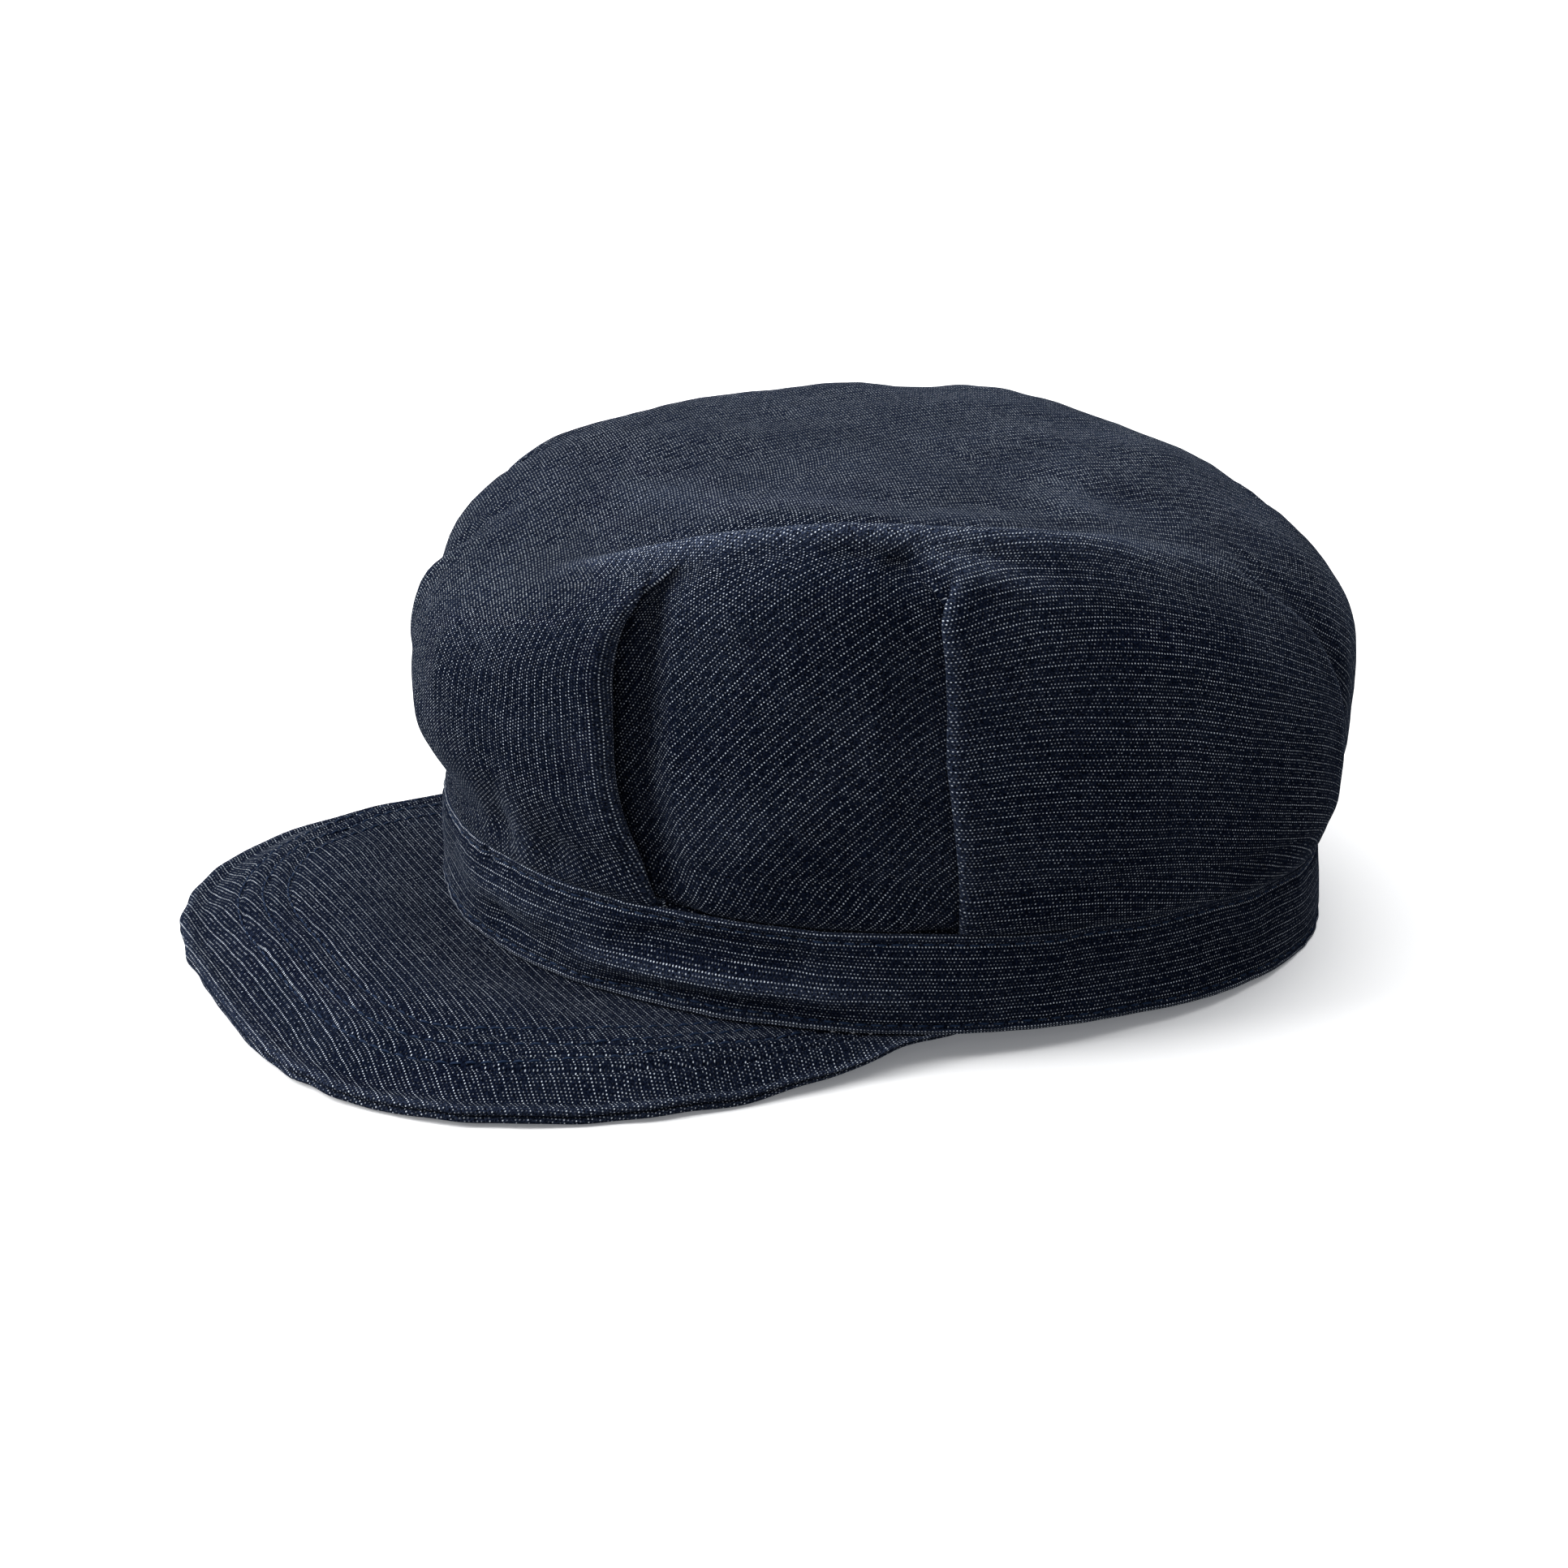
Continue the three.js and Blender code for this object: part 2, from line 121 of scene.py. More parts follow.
DENTS = [
    dict(angle=70, along=0.88, depth=0.6, wide=12, tall=0.14),
    dict(angle=92, along=0.72, depth=0.35, wide=12, tall=0.1),
    dict(angle=88, along=1.02, depth=-0.3, wide=30, tall=0.12),
    dict(angle=80, along=1.45, depth=0.6, wide=42, tall=0.22),
    dict(angle=-80, along=1.4, depth=0.4, wide=40, tall=0.25),
    dict(angle=8, along=1.1, depth=0.4, wide=22, tall=0.14),
    dict(angle=112, along=0.35, depth=-0.3, wide=20, tall=0.3),
    dict(angle=-14, along=0.15, depth=0.9, wide=32, tall=0.14),
]

# Wrinkles of the crown: curves through three places, each an angle in degrees and a share of the way up
# (0 the band, 1 the shoulder), pushed in by deep (out where it is negative) over a half width of wide.
WRINKLES = [
    dict(start=(14, 0.34), middle=(12, 0.18), end=(9, 0.04), wide=4, deep=2.6),
    dict(start=(17, 0.36), middle=(17, 0.2), end=(15, 0.06), wide=3.5, deep=-1.6),
    dict(start=(24, 0.22), middle=(22, 0.12), end=(21, 0.03), wide=4, deep=2),
    dict(start=(66, 0.97), middle=(76, 0.82), end=(88, 0.66), wide=4, deep=-2.6),
    dict(start=(65, 0.92), middle=(67, 0.82), end=(69, 0.68), wide=4, deep=2.4),
    dict(start=(74, 0.72), middle=(81, 0.66), end=(92, 0.54), wide=5, deep=1.6),
    dict(start=(16, 0.99), middle=(48, 1.05), end=(98, 1.03), wide=3.6, deep=-3.4),
    dict(start=(80, 1.06), middle=(104, 1.0), end=(122, 0.9), wide=5, deep=-1.2),
    dict(start=(16, 1.14), middle=(52, 1.18), end=(100, 1.16), wide=6, deep=3.4),
    dict(start=(-20, 1.2), middle=(10, 1.32), end=(60, 1.42), wide=6, deep=-0.8),
    dict(start=(96, 1.16), middle=(112, 1.28), end=(150, 1.36), wide=7, deep=-0.9),
    dict(start=(48, 1.0), middle=(50, 0.88), end=(52, 0.8), wide=7, deep=0.9),
    dict(start=(58, 0.99), middle=(60, 0.9), end=(63, 0.78), wide=5, deep=0.8),
    dict(start=(-16, 0.1), middle=(-19, 0.45), end=(-18, 0.85), wide=2.5, deep=-1.5),
    dict(start=(-10, 0.1), middle=(-14, 0.45), end=(-13, 0.85), wide=2.2, deep=1.6),
]

WRINKLE_END = 0.25  # share of a wrinkle's depth at its ends

# How the crown's cloth lies. The stripes run along the direction of 0 degrees in the flat disc of cloth that
# it is cut from.
CLOTH_TURN = -9  # degrees that the disc is turned on the band, as the cap lies
SEAM_SAG = 2.6  # how far the cloth hangs down onto the top of the band
SAG_REACH = 0.13  # way up at which the sag ends
SAG_POWER = 0.7
HEM_PRESS = 0.12  # share left of the pleats' thickness where the band's seam presses them
HEM_ROWS = [-1, -0.5]  # ways down the hem
FOLD_EDGE = 2  # step of PLEAT_SECTION on the edge of the fold
FOLD_EDGE_WIDTH = 0.7  # half width of the painted highlight along its edge, in those steps
PASSING = (2.2, 7.5)  # steps of PLEAT_SECTION over which the cloth passes to the next panel
PANEL_MARGIN = 8  # lines that a panel leaves to its pleats
PLEAT_EDGE_HIGHLIGHT = 0.6  # share of the full painted highlight along the pleats' edges, standing in for sheen
RIDGE_HIGHLIGHT_HEIGHT = 2.8  # height of a ridge that gets the full painted highlight, which stands in for the sheen along crests

# Ways up the crown between which something sets in or fades
FULLNESS_STARTS = (0, 0.3)
FULLNESS_ENDS = (0.7, 1.1)
PLEATS_OPEN = (0.7, 0.9)
PANELS_JOIN = (0.85, 1.2)
# between these the painted highlight along the pleats' edges fades out
EDGE_HIGHLIGHT_FADES = (0.75, 0.95)
RELIEF_STARTS = (0, 0.12)
POLE_EVENS = (1.4, 1.54)

# Fine relief of the cloth: smooth random waves, deep at their highest, of lengths from longest to shortest
Waves = namedtuple("Waves", "deep longest shortest seed")
WAVE_COUNT = 28
CROWN_WAVES = [Waves(0.45, 60, 22, 3), Waves(0.12, 14, 6, 5)]
BAND_WAVES = Waves(0.3, 50, 14, 11)
PUCKER_WAVES = Waves(0.16, 9, 4, 12)
BAND_EDGE_WAVES = Waves(0.25, 60, 12, 13)
PEAK_WAVES = Waves(0.28, 60, 18, 21)
RIPPLE_WAVES = Waves(0.5, 90, 22, 23)
RIM_WAVES = Waves(0.35, 26, 9, 24)

# Folds of the band, as WRINKLES but with heights above its bottom edge
BAND_FOLDS = [
    dict(start=(32, 12.5), middle=(43, 14.2), end=(60, 13.5), wide=3.4, deep=3.3),
    dict(start=(24, 7), middle=(42, 8), end=(68, 7.5), wide=2.4, deep=-2.4),
    dict(start=(30, 2.5), middle=(42, 3.4), end=(60, 2.5), wide=2.2, deep=2),
    dict(start=(7, 8), middle=(12, 6.5), end=(20, 5), wide=3, deep=2),
    dict(start=(-4, 15), middle=(10, 12.5), end=(28, 13), wide=3.5, deep=-1.3),
    dict(start=(-20, 6), middle=(-10, 8), end=(0, 7), wide=3, deep=1.2),
    dict(start=(78, 6), middle=(98, 8.5), end=(120, 6), wide=4, deep=1.1),
    dict(start=(5, BAND_HEIGHT), middle=(6, 19), end=(7.5, 17), wide=1.2, deep=1.4),
    dict(start=(150, 8), middle=(180, 12), end=(210, 8), wide=4, deep=0.9),
    dict(start=(230, 13), middle=(260, 8), end=(290, 10), wide=4, deep=1.2),
    dict(start=(300, 8), middle=(315, 12), end=(330, 7), wide=3, deep=-1.2),
]

# Sizes of the peak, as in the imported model
PEAK_LENGTH = 56
PEAK_WIDTH = 183
PEAK_PLY = 1.4
PEAK_HALF_ANGLE = 75  # degrees round the band to where its rim ends
PEAK_TUCK_ANGLE = 68  # and to where its inner edge ends
PEAK_POWER = 3  # squareness of its outline
PEAK_WAIST = 0.85  # share of the way round at which the sides start to draw in
PEAK_DROP_POWER = 2.6  # how late it falls from the band to its rim
PEAK_CROWNING = 3
PEAK_REST = 0.93  # share of the way out at which it lies on the surface
PEAK_RISE = 0.92  # share of the way round at which its rim leaves the surface
PEAK_THICKNESS = 2 * PEAK_PLY + CLEARANCE
PEAK_PINCH = 0.3  # share of that left at its ends, which the band's seam presses together
PINCH_START = 0.8  # share of the way round at which the pinch starts
PEAK_RIDGE = 1.8  # how far the cloth stands up along the stitching, above the falling rim
RIDGE_INSET = 15  # from the rim to that ridge
RIDGE_WIDTH = 8
RIDGE_FADES = (25, 45)  # depths of the peak between which the ridge sets in
RIM_BEAD = 0.35  # how far the turned cloth stands up along the rim
BEAD_INSET = 1.5
BEAD_WIDTH = 1.6
RIPPLE = 0.7  # height of the rim's ripples
RIPPLE_STARTS = (0.75, 1)  # shares of the way out
RELIEF_WAY = (0.05, 0.4)  # shares of the way out over which the relief of the cloth sets in
PEAK_SLOPE = 0.3  # cloth gained across the stripes for each millimetre of fall

# Topstitching
STITCH = 2.6  # length of a stitch
STITCH_GAP = 0.55
STITCH_LENGTHS = (0.92, 1.05)  # shares of that
STITCH_SHIFT = 0.15  # along its row, at most
STITCH_STRAY = 0.1  # to either side of its row, at most
STITCH_SWELL = np.array([0.35, 0.85, 1, 1, 0.85, 0.35])  # thickness along it
STITCH_ARCH = 1.15  # how far its middle rises and its ends sink, in half thicknesses of the thread
STITCH_SINK = 0.4
STITCH_SIDES = 6
THREAD = 0.27  # half its thickness
BAND_ROWS = [2.0, BAND_HEIGHT - 2.1]  # heights of its rows on the band
PEAK_ROWS = [13, 18.5, 24]  # distances of its rows from the rim of the peak
ROW_REACH = 0.985  # share of the way round the peak that they are looked for
BAND_STITCH_RISE = 0.05  # of the directions out of the band, as it leans in
STITCH_GROOVE = 0.65  # how far a row pulls the cloth in
BAND_GROOVE_WIDTH = 0.7
PEAK_GROOVE_WIDTH = 0.8
PUCKER_WIDTH = 2.5
EDGE_WEAR_WIDTH = 1.2
TRIM_WEAR = 0.4  # of the band's edges and the peak's rim
BAND_RIDGE_HIGHLIGHT_HEIGHT = 4  # height of a ridge of the band that gets the full painted highlight

# The weave: rows of pale dots, every third one bright
DOT_ROW = 0.73  # from one row of dots to the next
DOT_PITCH = 0.72
BAND_ROW_SHIFT = 0.35  # of the rows on the band, so that its edge shows half a row

# Fineness of the meshes
CROWN_ROWS = 92
SECTION_STEP = 0.34  # between lines across a pleat, in rows of PLEAT_SECTION
PANEL_STEP = 1.15  # degrees between lines across a panel
BAND_COLUMNS = 640
PEAK_COLUMNS = 220
PEAK_STATIONS = 60
FRONT_EASE = 1.5  # how much closer places are at the front of the peak
RIM_EASE = 1.25  # and towards its rim
PATH_STEP = 1.3  # between places on the path of a wrinkle
DENSE = 1500  # places on a line from which evenly spaced ones are chosen
RADIUS_WINDOW = 31  # lines over which the crown's radius is smoothed


# Numbers

def lerp(a, b, share):
    return a + (b - a) * share


def smoothstep(x, low, high):
    share = np.clip((x - low) / (high - low), 0, 1)
    return share * share * (3 - 2 * share)


def hill(distance, width):
    return np.exp(-((distance / width) ** 2))


def unit(vectors):
    return vectors / np.maximum(np.linalg.norm(vectors, axis=-1, keepdims=True), 1e-9)


def angle_apart(a, b):
    return (a - b + math.pi) % (2 * math.pi) - math.pi


def waves(points, kind):
    """A smooth random field over points."""
    draws = np.random.RandomState(kind.seed)
    directions = unit(draws.normal(size=(WAVE_COUNT, 3)))
    lengths = np.geomspace(kind.longest, kind.shortest, WAVE_COUNT)
    phases = draws.uniform(0, 2 * math.pi, WAVE_COUNT)
    total = np.zeros(points.shape[:-1])
    for direction, length, phase in zip(directions, lengths, phases):
        total += np.cos(points @ direction * (2 * math.pi / length) + phase)
    return kind.deep * total / math.sqrt(WAVE_COUNT)


def distance_along(points):
    """Distance travelled at each point of a line."""
    steps = np.linalg.norm(np.diff(points, axis=0), axis=1)
    return np.concatenate([[0], np.cumsum(steps)])


def evenly(points, count):
    """Indices of about evenly spaced points on a dense line."""
    travelled = distance_along(points)
    return np.searchsorted(travelled, np.linspace(0, travelled[-1], count) - 1e-9)


# Meshes

def grid_faces(rows, columns, loop, start=0, flip=False):
    """Faces of a grid of points, which runs round in a loop along its columns if loop is set."""
    i, j = np.meshgrid(np.arange(rows - 1), np.arange(columns - (0 if loop else 1)), indexing="ij")
    after = (j + 1) % columns
    corners = [i * columns + j, i * columns + after, (i + 1) * columns + after, (i + 1) * columns + j]
    faces = np.stack(corners, -1).reshape(-1, 4) + start
    return (faces[:, ::-1] if flip else faces).tolist()


def grid_normals(grid, beyond):
    """Normals of a looped grid of points. beyond is the point past its last row."""
    along = unit(np.roll(grid, -1, 1) - grid) + unit(grid - np.roll(grid, 1, 1))
    above = np.concatenate([grid[1:], np.broadcast_to(beyond, grid[-1:].shape)])
    below = np.concatenate([grid[:1], grid[:-1]])
    return unit(np.cross(along, above - below))


def add_piece(name, points, faces, material, slot, node=None, **attributes):
    """Adds a mesh of points in millimetres round the band's centre, riding on the cap."""
    mesh = bpy.data.meshes.new(name)
    mesh.from_pydata(((points + CENTRE) * MM).tolist(), [], faces)
    mesh.shade_smooth()
    for key, values in attributes.items():
        vector = values.ndim == 2
        layer = mesh.attributes.new(key, "FLOAT_VECTOR" if vector else "FLOAT", "POINT")
        layer.data.foreach_set("vector" if vector else "value", values.ravel().astype(np.float32))
    mesh.materials.append(material)
    piece = bpy.data.objects.new(name, mesh)
    bpy.context.collection.objects.link(piece)
    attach(piece, "root")
    if node:
        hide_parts(node)
    return piece


# The band's oval

def oval(angle, out=0.0):
    """Points of the band's outside seen from above, moved outwards. Angle 0 is the front and grows
    towards the wearer's left."""
    def at(turn):
        x, y = np.sin(turn), -np.cos(turn)
        power = np.where(y > 0, BACK_POWER, FRONT_POWER)
        scale = (np.abs(x) ** power + np.abs(y) ** power) ** (-1 / power)
        return np.stack([BAND_WIDTH / 2 * x * scale, BAND_LENGTH / 2 * y * scale], -1)

    step = 0.01
    along = unit(at(angle + step) - at(angle - step))
    outward = np.stack([along[..., 1], -along[..., 0]], -1)
    return at(angle) + outward * np.asarray(out)[..., None]


def band_bottom(y):
    """Height of the band's bottom edge."""
    forward = (BAND_LENGTH / 2 - y) / BAND_LENGTH
    share = np.clip((forward - REST_SHARE) / (1 - REST_SHARE), 0, 1)
    return FRONT_LIFT * share ** LIFT_POWER


# The crown

def shoulder(column, angle):
    """A value of the SHOULDER table at any angle, on a smooth closed curve through its rows."""
    values = np.array(SHOULDER[column])
    turns = (angle / (2 * math.pi) + 0.5) * len(values)
    row = np.floor(turns).astype(int)
    t = turns - row
    a, b, c, d = (values[(row + k) % len(values)] for k in (-1, 0, 1, 2))
    return b + 0.5 * t * (c - a + t * (2 * a - 5 * b + 4 * c - d + t * (3 * (b - c) + d - a)))


def crown_point(angle, along, out):
    """Points of the crown's middle surface at angles, a share of the way up it, moved outwards."""
    seam_out = -(BAND_LEAN + BAND_WALL + CLEARANCE + SOLID_CLOTH / 2)
    seam = band_bottom(oval(angle)[..., 1]) + BAND_HEIGHT
    rim = CROWN_HEIGHT * shoulder("height", angle)
    belly = lerp(seam, rim, BELLY_SHARE)
    bulge = OVERHANG * shoulder("bulge", angle)
    if along <= BELLY_SHARE:
        side = max(along, 0) / BELLY_SHARE
        swell = math.sin(math.pi / 2 * side) ** BELLY_POWER
        flat = oval(angle, lerp(seam_out, bulge, swell) + out)
        height = lerp(seam + SEAM_ROOM, belly, side) + min(along, 0) * TUCK
        return np.concatenate([flat, height[..., None]], -1)
    turn = math.radians(SHOULDER_TURN) * (along - BELLY_SHARE) / (1 - BELLY_SHARE)
    power = SHOULDER_POWER * shoulder("power", angle)
    reach = math.cos(turn) ** (2 / power)
    rise = math.sin(turn) ** (2 / power)
    flat = oval(angle, bulge + out)
    top = lerp(CROWN_HEIGHT, rim, reach ** 2)
    x = flat[..., 0] * reach
    y = lerp(TOP_SETBACK, flat[..., 1], reach)
    return np.stack([x, y, lerp(belly, top, rise)], -1)


def crown_outward(angle, along):
    """Directions out of the smooth crown, without its pleats."""
    flat = oval(angle, 1.0) - oval(angle)
    turn = math.radians(SHOULDER_TURN) * max(along - BELLY_SHARE, 0) / (1 - BELLY_SHARE)
    power = SHOULDER_POWER * shoulder("power", angle)
    sideways = math.cos(turn) ** (2 - 2 / power)
    upwards = math.sin(turn) ** (2 - 2 / power)
    return unit(np.concatenate([flat * sideways[..., None], upwards[..., None]], -1))


def crown_alongs():
    """Rows of the crown from its hem to the middle of the top, evenly spaced along its profile."""
    top = BELLY_SHARE + (1 - BELLY_SHARE) * 90 / SHOULDER_TURN
    ease = np.linspace(0, 1, DENSE)
    side = BELLY_SHARE * ease ** 2
    over = lerp(BELLY_SHARE, top, 0.5 - 0.5 * np.cos(math.pi * ease))
    dense = np.concatenate([side, over[1:-1]])
    profile = np.array([crown_point(np.array(math.pi / 2), along, 0.0) for along in dense])
    rows = dense[evenly(profile, CROWN_ROWS + 1)][:-1]
    return np.concatenate([HEM_ROWS, rows])


Line = namedtuple("Line", "angle out panel passed opened edge pleated")


def pleat_line(fold, step, along):
    """Angles and outward shifts, up the side, of one line of a pleat's section."""
    head = fold["head"]
    turn, under, layer, opened = (section_value(key, step) for key in ("turn", "under", "layer", "open"))
    height = np.clip(along, 0, head)
    folded = 1 - smoothstep(along, head - PLEAT_OPENING, head + PLEAT_OPENING / 2)
    deep = 1 - smoothstep(along, head, head + PLEAT_OPENING)
    underlap = UNDERLAP * fold["underlap"] * (1 - height / head)
    across = lerp(opened * PLEAT_SPREAD, turn * LAYER_PITCH - under * underlap, folded)
    gape = np.sin(math.pi * height / head)
    bend = np.radians(fold["bow"] * gape + fold["lean"] * height / head)
    sunk = layer * (LAYER_PITCH + PLEAT_GAP / 2 * fold["gap"] * gape)
    out = deep * (PLEAT_STAND * smoothstep(along, 0, PLEAT_OPENING) - sunk)
    return math.radians(fold["angle"]) + bend - fold["proud"] * across / MEAN_RADIUS, out


def section_value(key, step):
    """A value of PLEAT_SECTION between its rows, on a smooth curve through them."""
    values = PLEAT_SECTION[key]
    row = min(int(step), len(values) - 2)
    t = step - row
    a, b, c, d = (values[min(max(row + k, 0), len(values) - 1)] for k in (-1, 0, 1, 2))
    return b + 0.5 * t * (c - a + t * (2 * a - 5 * b + 4 * c - d + t * (3 * (b - c) + d - a)))


def crown_lines(along):
    """Every line up the crown in order round it, with its angles and outward shifts on each row, the
    panel before it and how far it has passed over to the next one, in a closed pleat and in an open one."""
    last = len(PLEAT_SECTION["turn"]) - 1
    steps = np.linspace(0, last, round(last / SECTION_STEP) + 1)
    lines = []
    for k, fold in enumerate(PLEATS):
        forwards = fold["proud"] < 0
        for step in steps if forwards else steps[::-1]:
            angle, out = pleat_line(fold, step, along)
            passed = smoothstep(step, *PASSING)
            opened = step / last
            if not forwards:
                passed, opened = 1 - passed, 1 - opened
            # edge marks the fold's edge, where the cloth later gets a painted highlight
            edge = hill(step - FOLD_EDGE, FOLD_EDGE_WIDTH)
            lines.append(Line(angle, out, k, passed, opened, edge, True))
        following = PLEATS[(k + 1) % len(PLEATS)]
        turn = 0 if following["angle"] > fold["angle"] else 2 * math.pi
        start = lines[-1]
        end_angle, end_out = pleat_line(following, 0 if following["proud"] < 0 else last, along)
        width = following["angle"] - fold["angle"] + math.degrees(turn)
        count = round(width / PANEL_STEP) - PANEL_MARGIN
        for i in range(1, count + 1):
            share = i / (count + 1)
            puff = PANEL_FULLNESS * math.sin(math.pi * share) * smoothstep(along, *FULLNESS_STARTS)
            puff *= 1 - smoothstep(along, *FULLNESS_ENDS)
            angle = lerp(start.angle, end_angle + turn, share)
            lines.append(Line(angle, lerp(start.out, end_out, share) + puff, k + 1, 0, 0, 0, False))
    return lines


def dents(angle, along):
    """How far the dents push the cloth in."""
    depth = np.zeros_like(angle)
    for dent in DENTS:
        across = angle_apart(angle, math.radians(dent["angle"])) / math.radians(dent["wide"])
        upwards = (along - dent["along"]) / dent["tall"]
        depth += DENT_DEPTH * dent["depth"] * hill(np.hypot(across, upwards), 1)
    return depth


def wrinkle_depth(points, wrinkles, place):
    """How far wrinkles push the cloth in. place gives the point at an angle and a way up."""
    depth = np.zeros(points.shape[:-1])
    t = coarse = np.linspace(0, 1, 25)
    weights = np.stack([(1 - t) * (1 - 2 * t), 4 * t * (1 - t), t * (2 * t - 1)], -1)
    for wrinkle in wrinkles:
        ends = np.array([wrinkle[key] for key in ("start", "middle", "end")], float)
        path = np.array([place(np.radians(angle), up) for angle, up in weights @ ends])
        t = np.linspace(0, 1, int(distance_along(path)[-1] / PATH_STEP) + 2)
        path = np.stack([np.interp(t, coarse, path[:, k]) for k in range(3)], -1)
        gaps = np.linalg.norm(points[..., None, :] - path, axis=-1)
        taper = lerp(WRINKLE_END, 1, np.sin(math.pi * t[gaps.argmin(-1)]))
        depth += wrinkle["deep"] * taper * hill(gaps.min(-1), wrinkle["wide"])
    return depth


def flat_cloth(middle, along, lines):
    """Places of the crown's points in the flat disc of cloth: across its stripes, along them, and how
    far from its middle."""
    rows, columns = middle.shape[:2]
    pole = np.array([0, TOP_SETBACK, CROWN_HEIGHT])
    up = np.linalg.norm(np.diff(middle, axis=0), axis=2)
    last = np.linalg.norm(middle[-1] - pole, axis=1)[None]
    radius = np.cumsum(np.concatenate([up, last])[::-1], 0)[::-1]
    radius = smooth_round(radius, RADIUS_WINDOW)
    steps = np.linalg.norm(np.roll(middle, -1, 1) - middle, axis=2)
    travelled = np.cumsum(steps, 1) - steps
    length = steps.sum(1)

    panel = np.array([line.panel for line in lines])
    flat = np.array([not line.pleated for line in lines])
    closed = np.array([line.passed for line in lines])[None]
    opened = np.array([line.opened for line in lines])[None]
    passed = lerp(closed, opened, smoothstep(along, *PLEATS_OPEN)[:, None])
    folds = [fold["angle"] for fold in PLEATS]
    folds = [folds[-1] - 360] + folds + [folds[0] + 360]
    theta = np.zeros((rows, columns))
    for k in range(len(PLEATS) + 1):
        inside = np.flatnonzero(flat & (panel == (k or len(PLEATS))))
        centre = (travelled[:, inside[0]] + travelled[:, inside[-1]]) / 2 - (0 if k else length)
        direction = math.radians((folds[k] + folds[k + 1]) / 2) + (travelled - centre[:, None]) / radius
        theta += direction * np.where(panel == k, 1 - passed, np.where(panel + 1 == k, passed, 0))
    angle = np.stack([line.angle for line in lines], 1)
    theta = lerp(theta, angle, smoothstep(along, *PANELS_JOIN)[:, None]) + math.radians(CLOTH_TURN)
    return np.stack([radius * np.sin(theta), radius * np.cos(theta), radius], -1)


def smooth_round(values, window):
    """Rows of values smoothed along their loop."""
    kernel = np.hanning(window + 2)[1:-1]
    wrapped = np.concatenate([values[:, -window:], values, values[:, :window]], 1)
    smooth = np.stack([np.convolve(row, kernel / kernel.sum(), "same") for row in wrapped])
    return smooth[:, window:-window]


def shell_faces(rows, columns):
    """Faces of an outer and an inner looped grid, joined along their first rows. Each is closed by a point
    of its own, and these two come after both grids."""
    count = rows * columns
    faces = grid_faces(rows, columns, True) + grid_faces(rows, columns, True, count, flip=True)
    for j in range(columns):
        after = (j + 1) % columns
        faces.append([count + j, count + after, after, j])
        faces.append([count - columns + j, count - columns + after, 2 * count])
        faces.append([2 * count - columns + after, 2 * count - columns + j, 2 * count + 1])
    return faces


def make_crown(material):
    along = crown_alongs()
    lines = crown_lines(np.maximum(along, 0))
    angle = np.stack([line.angle for line in lines], 1)
    out = np.stack([line.out for line in lines], 1)
    out = out * lerp(HEM_PRESS, 1, np.clip(2 * along + 1, 0, 1))[:, None]
    middle = np.stack([crown_point(angle[i], along[i], out[i]) for i in range(len(along))])
    outward = np.stack([crown_outward(angle[i], along[i]) for i in range(len(along))])
    pole = np.array([0, TOP_SETBACK, CROWN_HEIGHT], float)
    loose = smoothstep(along, *RELIEF_STARTS)[:, None]
    push = dents(angle, along[:, None])
    wrinkled = wrinkle_depth(middle, WRINKLES, lambda turn, up: crown_point(turn, up, 0.0))
    push += wrinkled
    push += sum(waves(middle, kind) for kind in CROWN_WAVES)
    push = lerp(push, push[-8:].mean(), smoothstep(along, *POLE_EVENS)[:, None])
    cloth = flat_cloth(middle, along, lines)
    middle = middle - outward * (push * loose)[..., None]
    middle[..., 2] -= SEAM_SAG * np.sin(math.pi * np.clip(along / SAG_REACH, 0, 1) ** SAG_POWER)[:, None]
    pole = pole - (0, 0, push[-1].mean())
    facing = grid_normals(middle, pole)
    outer = middle + facing * (SOLID_CLOTH / 2)
    inner = middle + facing * (SOLID_CLOTH / 2 - CLOTH)
    ends = np.array([pole + (0, 0, SOLID_CLOTH / 2), pole + (0, 0, SOLID_CLOTH / 2 - CLOTH)])
    points = np.concatenate([outer.reshape(-1, 3), inner.reshape(-1, 3), ends])
    faces = shell_faces(*angle.shape)
    both = np.concatenate([cloth.reshape(-1, 3)] * 2 + [np.zeros((2, 3))])
    # Painted highlight along the pleats' edges and the ridges of the wrinkles, standing in for sheen; the
    # crown gets no wear of its own
    edge = np.array([line.edge for line in lines]) * (1 - smoothstep(along, *EDGE_HIGHLIGHT_FADES))[:, None]
    edge = np.maximum(PLEAT_EDGE_HIGHLIGHT * edge, np.clip(-wrinkled / RIDGE_HIGHLIGHT_HEIGHT, 0, 1))
    worn = np.concatenate([edge.ravel(), edge.ravel(), [0, 0]])
    return add_piece("crown_cloth", points, faces, material, "crown_cloth", "crown", cloth=both, worn=worn)


# The band

def band_profile():
    """Section of the band, once round from the bottom of its outside: distance inwards from the outer
    face and height above the bottom edge."""
    r = BAND_ROUNDING
    low, high = BAND_EDGE, BAND_HEIGHT - BAND_EDGE
    face = np.concatenate([np.linspace(r, low, 8)[:-1], np.linspace(low, high, 16)[:-1],
                           np.linspace(high, BAND_HEIGHT - r, 8)])
    back = np.linspace(BAND_HEIGHT - r, r, 8)
    over = np.radians(np.linspace(0, 180, 11))[1:-1]
    outer = [(0, height) for height in face]
    top = [(BAND_WALL / 2 - BAND_WALL / 2 * math.cos(a), BAND_HEIGHT - r + r * math.sin(a)) for a in over]
    inner = [(BAND_WALL, height) for height in back]
    bottom = [(BAND_WALL / 2 + BAND_WALL / 2 * math.cos(a), r - r * math.sin(a)) for a in over]
    return np.array(outer + top + inner + bottom)


def band_folds(angle, height):
    """How far the band's folds push its outer face in."""
    place = np.concatenate([oval(angle), height[..., None]], -1)
    return wrinkle_depth(place, BAND_FOLDS, lambda turn, up: (*oval(turn), up))


